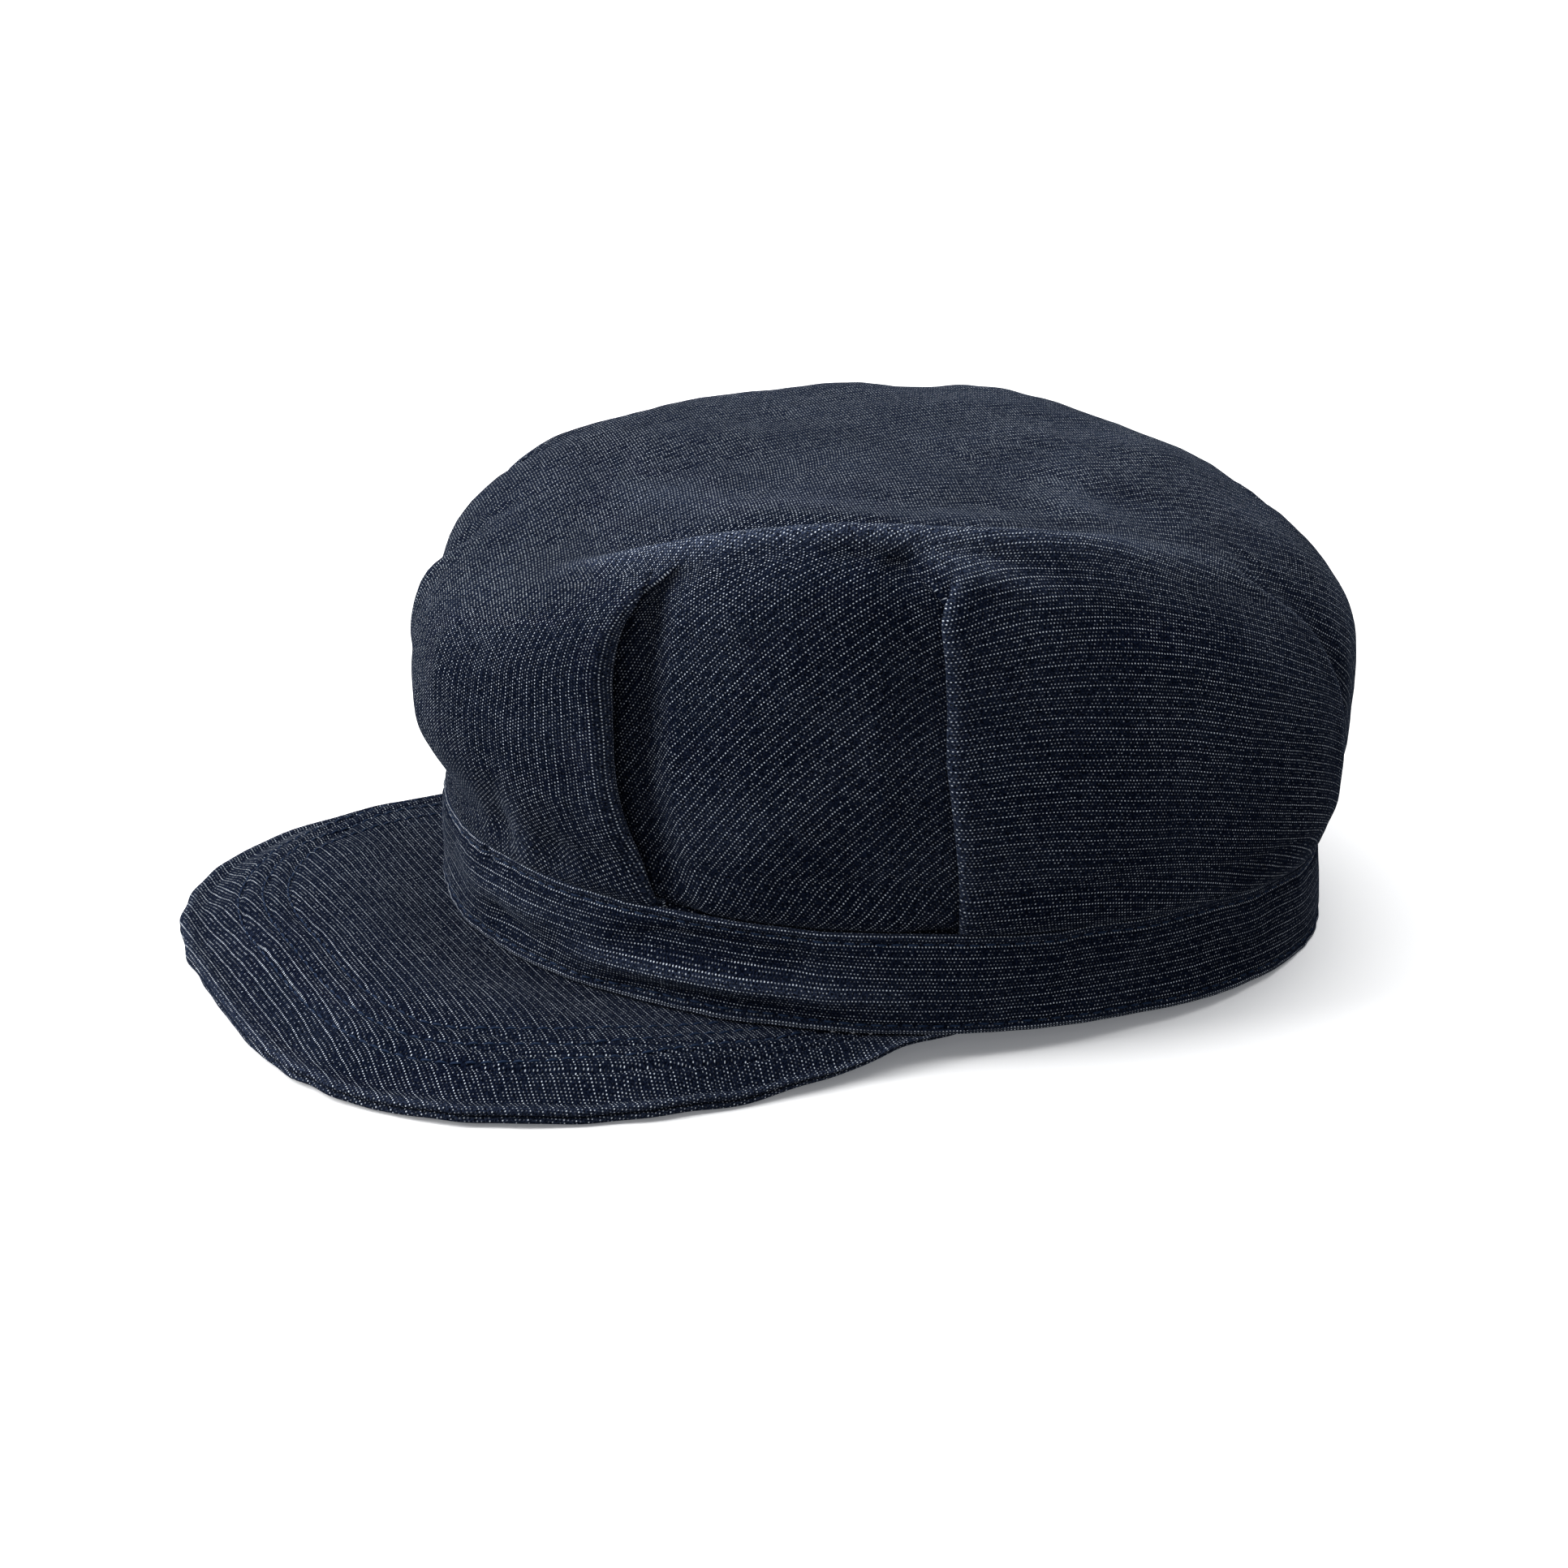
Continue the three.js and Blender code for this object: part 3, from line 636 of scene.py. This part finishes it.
def band_point(angle, inward, height):
    """Points of the band, with the relief of its cloth, and the directions out of it."""
    flat = oval(angle)
    place = np.concatenate([flat, height[..., None]], -1)
    face = 1 - smoothstep(inward, 0, BAND_WALL)
    relief = waves(place, BAND_WAVES) - band_folds(angle, height)
    for row in BAND_ROWS:
        relief -= STITCH_GROOVE * hill(height - row, BAND_GROOVE_WIDTH)
        relief += waves(place, PUCKER_WAVES) * hill(height - row, PUCKER_WIDTH)
    relief -= BACK_SEAM * hill(angle_apart(angle, math.pi) * BACK_RADIUS, BACK_SEAM_WIDTH)
    relief *= face
    rise = height / BAND_HEIGHT
    edges = rise * waves(place * (1, 1, 0), BAND_EDGE_WAVES)
    spread = oval(angle, relief - inward - BAND_LEAN * rise)
    z = band_bottom(flat[..., 1]) + height + edges
    return np.concatenate([spread, z[..., None]], -1)


def make_band(material):
    angle = np.linspace(0, 2 * math.pi, BAND_COLUMNS, endpoint=False)
    profile = band_profile()
    a, inward = np.meshgrid(angle, profile[:, 0], indexing="xy")
    height = np.repeat(profile[:, 1:], BAND_COLUMNS, 1)
    grid = band_point(a, inward, height)
    rows = len(profile)
    faces = grid_faces(rows, BAND_COLUMNS, True)
    last = (rows - 1) * BAND_COLUMNS
    for j in range(BAND_COLUMNS):
        after = (j + 1) % BAND_COLUMNS
        faces.append([last + j, last + after, after, j])
    across = distance_along(profile)
    arc = distance_along(oval(angle))
    cloth = np.stack(np.broadcast_arrays(across[:, None] + BAND_ROW_SHIFT, arc[None], 0 * a), -1)
    # Wear along the band's top and bottom edges, and painted highlight on the ridges of its folds
    worn = TRIM_WEAR * (hill(height - BAND_HEIGHT, EDGE_WEAR_WIDTH) + hill(height, EDGE_WEAR_WIDTH))
    worn = np.maximum(worn, np.clip(-band_folds(a, height) / BAND_RIDGE_HIGHLIGHT_HEIGHT, 0, 1)).ravel()
    return add_piece("band_cloth", grid.reshape(-1, 3), faces, material, "band_cloth", "band",
                     cloth=cloth.reshape(-1, 3), worn=worn)


# The peak

def peak_lines(share):
    """For shares of the way round from the wearer's right to the left: where the peak starts under the
    band, its rim, and the heights of both, seen from above."""
    inner = oval(math.radians(PEAK_TUCK_ANGLE) * share, -BAND_WALL)
    end = oval(np.array(math.radians(PEAK_HALF_ANGLE)), -BAND_WALL / 2)
    turn = math.pi / 2 * np.abs(share)
    half_width = lerp(PEAK_WIDTH / 2, end[0], smoothstep(np.abs(share), PEAK_WAIST, 1))
    side = half_width * np.sign(share) * np.sin(turn) ** (2 / PEAK_POWER)
    reach = BAND_LENGTH / 2 + PEAK_LENGTH + end[1]
    front = end[1] - reach * np.maximum(np.cos(turn), 0) ** (2 / PEAK_POWER)
    rim = np.stack([side, front], -1)
    inside = band_bottom(inner[..., 1]) - CLEARANCE
    raised = band_bottom(end[1]) - CLEARANCE
    outside = lerp(PEAK_THICKNESS, raised, smoothstep(np.abs(share), PEAK_RISE, 1))
    return inner, rim, inside, outside


def toward_front(ease):
    """Places round the peak that are closer together at its front, where its outline turns most."""
    return np.sign(ease) * np.abs(ease) ** FRONT_EASE


def peak_shares():
    """Places round the peak, evenly spaced along its rim."""
    dense = toward_front(np.linspace(-1, 1, 4 * DENSE + 1))
    rim = peak_lines(dense)[1]
    return dense[evenly(rim, PEAK_COLUMNS)]


def out_of_rim(rim):
    """Directions out of the peak, seen from above, along its rim."""
    tangent = unit(np.gradient(rim, axis=0))
    return np.stack([tangent[:, 1], -tangent[:, 0]], -1)


def peak_height(way, width, inside, outside):
    """Height of the peak's upper face at shares of the way out."""
    fall = np.minimum(1, way / PEAK_REST)
    arch = PEAK_CROWNING * np.minimum(1, width / PEAK_LENGTH) ** 2 * np.sin(math.pi * fall) ** 2
    return lerp(inside, outside, fall ** PEAK_DROP_POWER) + arch


def with_relief(z, plan, way, width, around):
    """Heights z of the peak's upper face with the relief of its cloth and of its stitching."""
    from_rim = (1 - way[:, None]) * width[None] + PEAK_PLY / 2
    place = np.concatenate([plan, 0 * z[..., None]], -1)
    z = z + waves(place, PEAK_WAVES) * smoothstep(way, *RELIEF_WAY)[:, None]
    for row in PEAK_ROWS:
        z = z - STITCH_GROOVE * hill(from_rim - row, PEAK_GROOVE_WIDTH)
    z = z + RIM_BEAD * hill(from_rim - BEAD_INSET, BEAD_WIDTH)
    z = z + PEAK_RIDGE * hill(from_rim - RIDGE_INSET, RIDGE_WIDTH) * smoothstep(width, *RIDGE_FADES)
    ripple = np.clip(RIPPLE_WAVES.deep + waves(around, RIPPLE_WAVES), 0, 1)
    return z + RIPPLE * ripple * smoothstep(way, *RIPPLE_STARTS)[:, None]


def peak_faces(rows, columns):
    """Faces of a grid that runs round the section of a ply on each column, closed at both ends."""
    faces = grid_faces(rows, columns, False, flip=True)
    last = (rows - 1) * columns
    for j in range(columns - 1):
        faces.append([j, j + 1, last + j + 1, last + j])
    for j in (0, columns - 1):
        ring = [i * columns + j for i in range(rows)]
        faces.append(ring if j == 0 else ring[::-1])
    return faces


def make_peak(name, node, slot, depth, material):
    share = peak_shares()
    inner, rim, inside, outside = peak_lines(share)
    outward = out_of_rim(rim)
    thin = lerp(1, PEAK_PINCH, smoothstep(np.abs(share), PINCH_START, 1))
    r = PEAK_PLY / 2
    around = np.concatenate([rim, 0 * rim[:, :1]], 1)
    edge = rim - outward * (r + RIM_WAVES.deep + waves(around, RIM_WAVES))[:, None]
    width = np.linalg.norm(edge - inner, axis=1)
    way = 1 - (1 - np.linspace(0, 1, PEAK_STATIONS)) ** RIM_EASE
    plan = inner[None] + (edge - inner)[None] * way[:, None, None]
    z = peak_height(way[:, None], width[None], inside[None], outside[None]) - depth * thin
    z = with_relief(z, plan, way, width, around)
    upper = np.concatenate([plan, z[..., None]], -1)
    over = np.radians(np.linspace(90, -90, 9))[1:-1]
    sides = np.stack([edge + outward * r * math.cos(a) for a in over])
    drops = np.stack([z[-1] + r * thin * (math.sin(a) - 1) for a in over])
    round_edge = np.concatenate([sides, drops[..., None]], -1)
    lower = upper[::-4].copy()
    lower[..., 2] -= PEAK_PLY * thin
    grid = np.concatenate([upper, round_edge, lower])
    faces = peak_faces(*grid.shape[:2])
    turned = np.stack([edge + outward * r * (math.pi / 2 - a) for a in over])
    flat = np.concatenate([plan, turned, plan[::-4]])
    cloth = np.stack([flat[..., 1] - PEAK_SLOPE * grid[..., 2], flat[..., 0], 0 * flat[..., 0]], -1)
    # The peak's rim and edges get wear only, no painted highlight
    face_wear = hill((1 - way[:, None]) * width, EDGE_WEAR_WIDTH)
    worn = TRIM_WEAR * np.concatenate([face_wear, np.ones(drops.shape), face_wear[::-4]])
    return add_piece(name, grid.reshape(-1, 3), faces, material, slot, node,
                     cloth=cloth.reshape(-1, 3), worn=worn.ravel())


# Topstitching

def make_stitches(name, paths, material, slot, seed):
    """Rows of stitches along paths, each an array of places and one of directions out of the cloth."""
    draws = np.random.RandomState(seed)
    points, faces = [], []
    rings, sides = len(STITCH_SWELL), STITCH_SIDES
    around = np.radians(np.arange(sides) * 360 / sides)
    radius = THREAD * STITCH_SWELL
    lift = THREAD * (STITCH_ARCH * np.sin(math.pi * np.linspace(0, 1, rings)) - STITCH_SINK)
    for places, outward in paths:
        travelled = distance_along(places)
        at = lambda values, s: np.stack([np.interp(s, travelled, values[:, k]) for k in range(3)], -1)
        count = int(travelled[-1] // (STITCH + STITCH_GAP))
        pitch = travelled[-1] / count
        for i in range(count):
            length = STITCH * draws.uniform(*STITCH_LENGTHS)
            begin = i * pitch + draws.uniform(0, STITCH_SHIFT)
            s = begin + length * np.linspace(0, 1, rings)
            centre = at(places, s)
            up = unit(at(outward, s))
            ahead = unit(np.gradient(centre, axis=0))
            aside = np.cross(ahead, up)
            centre = centre + aside * draws.uniform(-STITCH_STRAY, STITCH_STRAY)
            out = up[:, None] * np.cos(around)[:, None] + aside[:, None] * np.sin(around)[:, None]
            ring = (centre + up * lift[:, None])[:, None] + radius[:, None, None] * out
            start = len(points) * rings * sides
            points.append(ring.reshape(-1, 3))
            faces += grid_faces(rings, sides, True, start)
            faces.append([start + k for k in range(sides)][::-1])
            faces.append([start + (rings - 1) * sides + k for k in range(sides)])
    return add_piece(name, np.concatenate(points), faces, material, slot)


def band_stitch_paths():
    angle = np.linspace(0, 2 * math.pi, DENSE)
    upward = np.full_like(angle, BAND_STITCH_RISE)
    outward = np.concatenate([oval(angle, 1.0) - oval(angle), upward[:, None]], 1)
    return [(band_point(angle, 0 * angle, np.full_like(angle, row)), outward) for row in BAND_ROWS]


def peak_stitch_paths(ply):
    """Rows on the upper face of a ply, set against its mesh from above."""
    mesh = ply.data
    tree = BVHTree.FromPolygons([v.co for v in mesh.vertices], [p.vertices for p in mesh.polygons])
    rim = peak_lines(toward_front(np.linspace(-ROW_REACH, ROW_REACH, 900)))[1]
    outward = out_of_rim(rim)
    paths = []
    for row in PEAK_ROWS:
        line = rim - outward * row
        places, normals = [], []
        for x, y in line:
            under = np.linalg.norm((x, y)) < np.linalg.norm(oval(np.array(math.atan2(x, -y))))
            start = Vector((np.array([x, y, 0]) + CENTRE) * MM + (0, 0, 1))
            hit, normal, _, _ = tree.ray_cast(start, Vector((0, 0, -1)))
            if hit is None or under:
                continue
            places.append(np.array(hit) / MM - CENTRE)
            normals.append(np.array(normal))
        paths.append((np.array(places), np.array(normals)))
    return paths


# Materials

class Nodes:
    """Short ways to add and join nodes."""

    def __init__(self, name):
        self.material = bpy.data.materials.new(name)
        self.material.use_nodes = True
        self.tree = self.material.node_tree
        self.shader = self.tree.nodes["Principled BSDF"]

    def put(self, socket, value):
        if isinstance(value, bpy.types.NodeSocket):
            self.tree.links.new(value, socket)
        else:
            socket.default_value = value

    def set(self, name, value):
        self.put(self.shader.inputs[name], value)

    def add(self, kind, *values):
        """A node of a kind, with values for its first inputs."""
        node = self.tree.nodes.new("ShaderNode" + kind)
        for socket, value in zip(node.inputs, values):
            self.put(socket, value)
        return node

    def math(self, operation, a, b=0.0, c=0.0):
        node = self.add("Math", a, b, c)
        node.operation = operation
        return node.outputs[0]

    def ramp(self, value, low, high, first=0.0, second=1.0):
        node = self.add("MapRange", value, low, high, first, second)
        node.interpolation_type = "SMOOTHSTEP"
        return node.outputs[0]

    def mix(self, share, first, second):
        node = self.add("Mix")
        node.data_type = "RGBA"
        for socket, value in zip((node.inputs[0], node.inputs[6], node.inputs[7]), (share, first, second)):
            self.put(socket, value)
        return node.outputs[2]

    def noise(self, vector, scale, detail=2.0, roughness=0.5):
        node = self.add("TexNoise", vector)
        self.put(node.inputs["Scale"], scale)
        self.put(node.inputs["Detail"], detail)
        self.put(node.inputs["Roughness"], roughness)
        return node.outputs["Fac"]

    def attribute(self, name, output):
        node = self.add("Attribute")
        node.attribute_name = name
        return node.outputs[output]

    def bump(self, height, strength, distance):
        node = self.add("Bump")
        self.put(node.inputs["Strength"], strength)
        self.put(node.inputs["Distance"], distance)
        self.put(node.inputs["Height"], height)
        return node.outputs[0]


GAP = (0.0006, 0.0010, 0.0026, 1)  # between threads
NAVY = (0.0050, 0.0080, 0.0190, 1)
# paler blue of faded patches, also used for the painted highlight along ridges and pleat edges
FADED_AND_HIGHLIGHT = (0.0340, 0.0460, 0.0820, 1)
PALE = (0.50, 0.55, 0.62, 1)
THREAD_DARK = (0.003, 0.008, 0.022, 1)
THREAD_LIGHT = (0.009, 0.022, 0.055, 1)
SHEEN = (0.5, 0.64, 0.95, 1)

# The weave's numbers: sizes in mm, scales of noise in waves for each mm
ROW_DRIFT = 0.6  # how far the rows drift
ROW_DRIFT_SCALE = 0.06
DOT_DRIFT = 0.2  # and single dots
DOT_DRIFT_SCALE = 0.9
DOT_THIN = 5.2  # narrowness of a dot across its row
DOT_SHORT = 4.6  # and along it
DOT_EDGE = (1.3, 0.5)  # distances from its middle at which it starts and is full
BRIGHT_EVERY = 3.0  # rows
WEAK_RANGE = 0.66  # brightness of most dots, at most
STRONG_LEAST = 0.36  # brightness of the dots in bright rows, at least
STRONG_RANGE = 0.8
PATCH_SCALE = 0.045  # of broad paler and darker patches
SPOT_SCALE = 0.5  # and of small ones
TWILL = 2.6  # ribs for each mm
FUZZ_SCALE = 2.6
FADE_SCALE = 0.03
FADE_MOST = 0.25  # share of the faded colour from random fading, where the cloth has neither wear nor painted highlight
WEAR_AND_HIGHLIGHT_GAIN = 0.8  # brightness that the dots gain where the cloth is worn and under the painted highlight
DOT_BUMP = 0.55
TWILL_BUMP = 0.5
FUZZ_BUMP = 0.8
BUMP_STRENGTH = 0.55
BUMP_DEPTH = 0.00022  # metres
FIBRE_SCALE = 2500.0  # of the thread, in waves for each metre
FIBRE_DEPTH = 0.0001  # metres


def cloth_material(name):
    """Navy cloth with rows of pale dots, read from the mesh's places in the flat cloth."""
    n = Nodes(name)
    flat = n.attribute("cloth", "Vector")
    split = n.add("SeparateXYZ", flat)
    wander = n.math("MULTIPLY", n.math("SUBTRACT", n.noise(flat, ROW_DRIFT_SCALE, 2.0), 0.5), ROW_DRIFT)
    wobble = n.math("MULTIPLY", n.math("SUBTRACT", n.noise(flat, DOT_DRIFT_SCALE, 1.0), 0.5), DOT_DRIFT)
    across = n.math("ADD", n.math("ADD", split.outputs[0], wander), wobble)
    rows = n.math("DIVIDE", across, DOT_ROW)
    row = n.math("FLOOR", rows)
    odd = n.math("MULTIPLY", n.math("PINGPONG", row, 1.0), 0.5)
    cells = n.math("ADD", n.math("DIVIDE", split.outputs[1], DOT_PITCH), odd)
    cell = n.math("FLOOR", cells)
    off_row = n.math("SUBTRACT", n.math("SUBTRACT", rows, row), 0.5)
    off_cell = n.math("SUBTRACT", n.math("SUBTRACT", cells, cell), 0.5)
    away = n.math("SQRT", n.math("ADD", n.math("POWER", n.math("MULTIPLY", off_row, DOT_THIN), 2.0),
                                 n.math("POWER", n.math("MULTIPLY", off_cell, DOT_SHORT), 2.0)))
    dot = n.ramp(away, *DOT_EDGE)
    bright = n.math("COMPARE", n.math("FLOORED_MODULO", row, BRIGHT_EVERY), 0.0, 0.1)
    random = n.add("TexWhiteNoise", n.add("CombineXYZ", row, cell).outputs[0])
    random.noise_dimensions = "2D"
    chance = random.outputs["Value"]
    weak = n.math("MULTIPLY", n.math("MULTIPLY", chance, chance), WEAK_RANGE)
    strong = n.math("ADD", n.math("MULTIPLY", chance, STRONG_RANGE), STRONG_LEAST)
    strength = n.math("ADD", weak, n.math("MULTIPLY", bright, n.math("SUBTRACT", strong, weak)))
    patches = n.math("MULTIPLY", n.ramp(n.noise(flat, PATCH_SCALE, 3.0, 0.6), 0.25, 0.75, 0.7, 1.2),
                     n.ramp(n.noise(flat, SPOT_SCALE, 2.0), 0.3, 0.7, 0.75, 1.2))
    pale = n.math("MULTIPLY", n.math("MULTIPLY", dot, strength), patches)
    # Wear of the edges and painted highlight along ridges and pleat edges, read from the mesh: both lighten
    # the dots and blend in the paler blue
    worn = n.attribute("worn", "Fac")
    pale = n.math("MULTIPLY", pale, n.math("ADD", 1.0, n.math("MULTIPLY", worn, WEAR_AND_HIGHLIGHT_GAIN)))
    twill = n.math("ADD", n.math("MULTIPLY", split.outputs[0], TWILL),
                   n.math("MULTIPLY", split.outputs[1], TWILL))
    twill = n.math("PINGPONG", twill, 0.5)
    fuzz = n.noise(flat, FUZZ_SCALE, 3.0, 0.65)
    fade_and_highlight = n.math("ADD", n.ramp(n.noise(flat, FADE_SCALE, 4.0, 0.6), 0.3, 0.8, 0.0, FADE_MOST), worn)
    blue = n.mix(n.math("MINIMUM", fade_and_highlight, 1.0), NAVY, FADED_AND_HIGHLIGHT)
    base = n.mix(n.ramp(fuzz, 0.36, 0.66), GAP, blue)
    n.set("Base Color", n.mix(n.math("MINIMUM", pale, 1.0), base, PALE))
    n.set("Roughness", 0.88)
    n.set("Specular IOR Level", 0.0)
    n.set("Sheen Weight", 0.08)
    n.set("Sheen Roughness", 0.2)
    n.set("Sheen Tint", SHEEN)
    weave = n.math("ADD", n.math("MULTIPLY", dot, DOT_BUMP), n.math("MULTIPLY", twill, TWILL_BUMP))
    weave = n.math("ADD", weave, n.math("MULTIPLY", fuzz, FUZZ_BUMP))
    n.set("Normal", n.bump(weave, BUMP_STRENGTH, BUMP_DEPTH))
    return n.material


def thread_material():
    n = Nodes("blue_thread")
    place = n.add("TexCoord").outputs["Object"]
    fuzz = n.noise(place, FIBRE_SCALE, 3.0)
    n.set("Base Color", n.mix(fuzz, THREAD_DARK, THREAD_LIGHT))
    n.set("Roughness", 0.7)
    n.set("Specular IOR Level", 0.1)
    n.set("Normal", n.bump(fuzz, 0.6, FIBRE_DEPTH))
    return n.material


# The stage, in metres

FLOOR = 3.0  # half its width
FLOOR_SEEN = (0.95, 0.95, 0.95, 1)
FLOOR_BOUNCE = (0.36, 0.36, 0.36, 1)  # its colour for the light that it throws back at the cap
FLOOR_GLOW = (0.88, 0.92, 1, 1)
GLOW_NEAR, GLOW_FAR = 0.14, 1.0  # lifts the shadow near the cap, and keeps the floor white far from it
GLOW_REACH = (0.3, 0.9)  # distances from the cap
WORLD_LIGHT = 0.25  # brightness of the surroundings as light on the cap
WORLD_SEEN = 1.0  # and as the camera sees them
LIGHTS = [
    dict(name="overhead", place=(-0.2, 0.1, 1.5), size=2.2, power=38),
    dict(name="left", place=(-0.5, -1.3, 0.8), size=1.2, power=40),
    dict(name="fill", place=(1.3, -0.75, 0.5), size=1.0, power=3.5),
]
LIGHTS_AIM = (0, 0, 0.05)


def make_floor():
    corners = [(-FLOOR, -FLOOR, 0), (FLOOR, -FLOOR, 0), (FLOOR, FLOOR, 0), (-FLOOR, FLOOR, 0)]
    mesh = bpy.data.meshes.new("floor")
    mesh.from_pydata(corners, [], [(0, 1, 2, 3)])
    n = Nodes("pale_floor")
    seen = n.add("LightPath").outputs["Is Camera Ray"]
    n.set("Base Color", n.mix(seen, FLOOR_BOUNCE, FLOOR_SEEN))
    n.set("Roughness", 0.9)
    n.set("Specular IOR Level", 0.0)
    n.set("Emission Color", FLOOR_GLOW)
    place = n.add("TexCoord").outputs["Object"]
    away = n.add("VectorMath", place)
    away.operation = "LENGTH"
    glow = n.ramp(away.outputs["Value"], *GLOW_REACH, GLOW_NEAR, GLOW_FAR)
    n.set("Emission Strength", n.math("MULTIPLY", seen, glow))
    mesh.materials.append(n.material)
    floor = bpy.data.objects.new("floor", mesh)
    bpy.context.collection.objects.link(floor)


def look_at(thing, place, target):
    thing.location = place
    thing.rotation_mode = "QUATERNION"
    thing.rotation_quaternion = (Vector(target) - Vector(place)).to_track_quat("-Z", "Y")


def add_light(name, place, size, power):
    light = bpy.data.lights.new(name, "AREA")
    light.shape = "SQUARE"
    light.size = size
    light.energy = power
    thing = bpy.data.objects.new(name, light)
    bpy.context.collection.objects.link(thing)
    look_at(thing, place, LIGHTS_AIM)


def make_world():
    world = bpy.data.worlds.new("studio")
    world.use_nodes = True
    nodes, links = world.node_tree.nodes, world.node_tree.links
    background = nodes["Background"]
    background.inputs["Color"].default_value = (1, 1, 1, 1)
    path = nodes.new("ShaderNodeLightPath")
    seen = nodes.new("ShaderNodeMapRange")
    seen.inputs["To Min"].default_value = WORLD_LIGHT
    seen.inputs["To Max"].default_value = WORLD_SEEN
    links.new(path.outputs["Is Camera Ray"], seen.inputs["Value"])
    links.new(seen.outputs[0], background.inputs["Strength"])
    bpy.context.scene.world = world


# The camera, at the photograph's angle to the cap
AZIMUTH = math.radians(64)
ELEVATION = math.radians(20.8)
DISTANCE = 700  # from the point that it aims at
AIM_HEIGHT = 58.5  # of that point above the surface, before it is moved in the plane of the picture
AIM_RIGHT = -19.5
AIM_UP = -31.3
FOCAL = 5.55  # focal length in pixels of the photograph for each millimetre of distance
PHOTO_SIZE = 1932  # pixels
SENSOR = 36


def make_camera():
    a, e = AZIMUTH, ELEVATION
    back = Vector((math.sin(a) * math.cos(e), -math.cos(a) * math.cos(e), math.sin(e)))
    right = Vector((math.cos(a), math.sin(a), 0))
    up = back.cross(right)
    aim = Vector(CENTRE) + Vector((0, 0, AIM_HEIGHT)) + right * AIM_RIGHT + up * AIM_UP
    data = bpy.data.cameras.new("camera")
    data.sensor_width = SENSOR
    data.lens = FOCAL * DISTANCE / PHOTO_SIZE * SENSOR
    data.clip_start = 0.01
    camera = bpy.data.objects.new("camera", data)
    bpy.context.collection.objects.link(camera)
    turned = Matrix((right, up, back)).transposed().to_4x4()
    camera.matrix_world = Matrix.Translation((aim + back * DISTANCE) * MM) @ turned
    bpy.context.scene.camera = camera


make_camera()
make_world()
make_floor()
for light in LIGHTS:
    add_light(**light)
bpy.context.scene.view_settings.view_transform = "Standard"

crown_material = cloth_material("crown_weave")
band_material = cloth_material("band_weave")
peak_material = cloth_material("peak_weave")
lining_material = cloth_material("lining_weave")
thread = thread_material()
make_crown(crown_material)
make_band(band_material)
peak_top = make_peak("peak_top_cloth", "peak_top", "peak_cloth", 0, peak_material)
make_peak("peak_under_cloth", "peak_under", "peak_lining_cloth", PEAK_PLY + CLEARANCE, lining_material)
make_stitches("band_topstitching", band_stitch_paths(), thread, "band_cloth", seed=31)
make_stitches("peak_topstitching", peak_stitch_paths(peak_top), thread, "peak_cloth", seed=32)
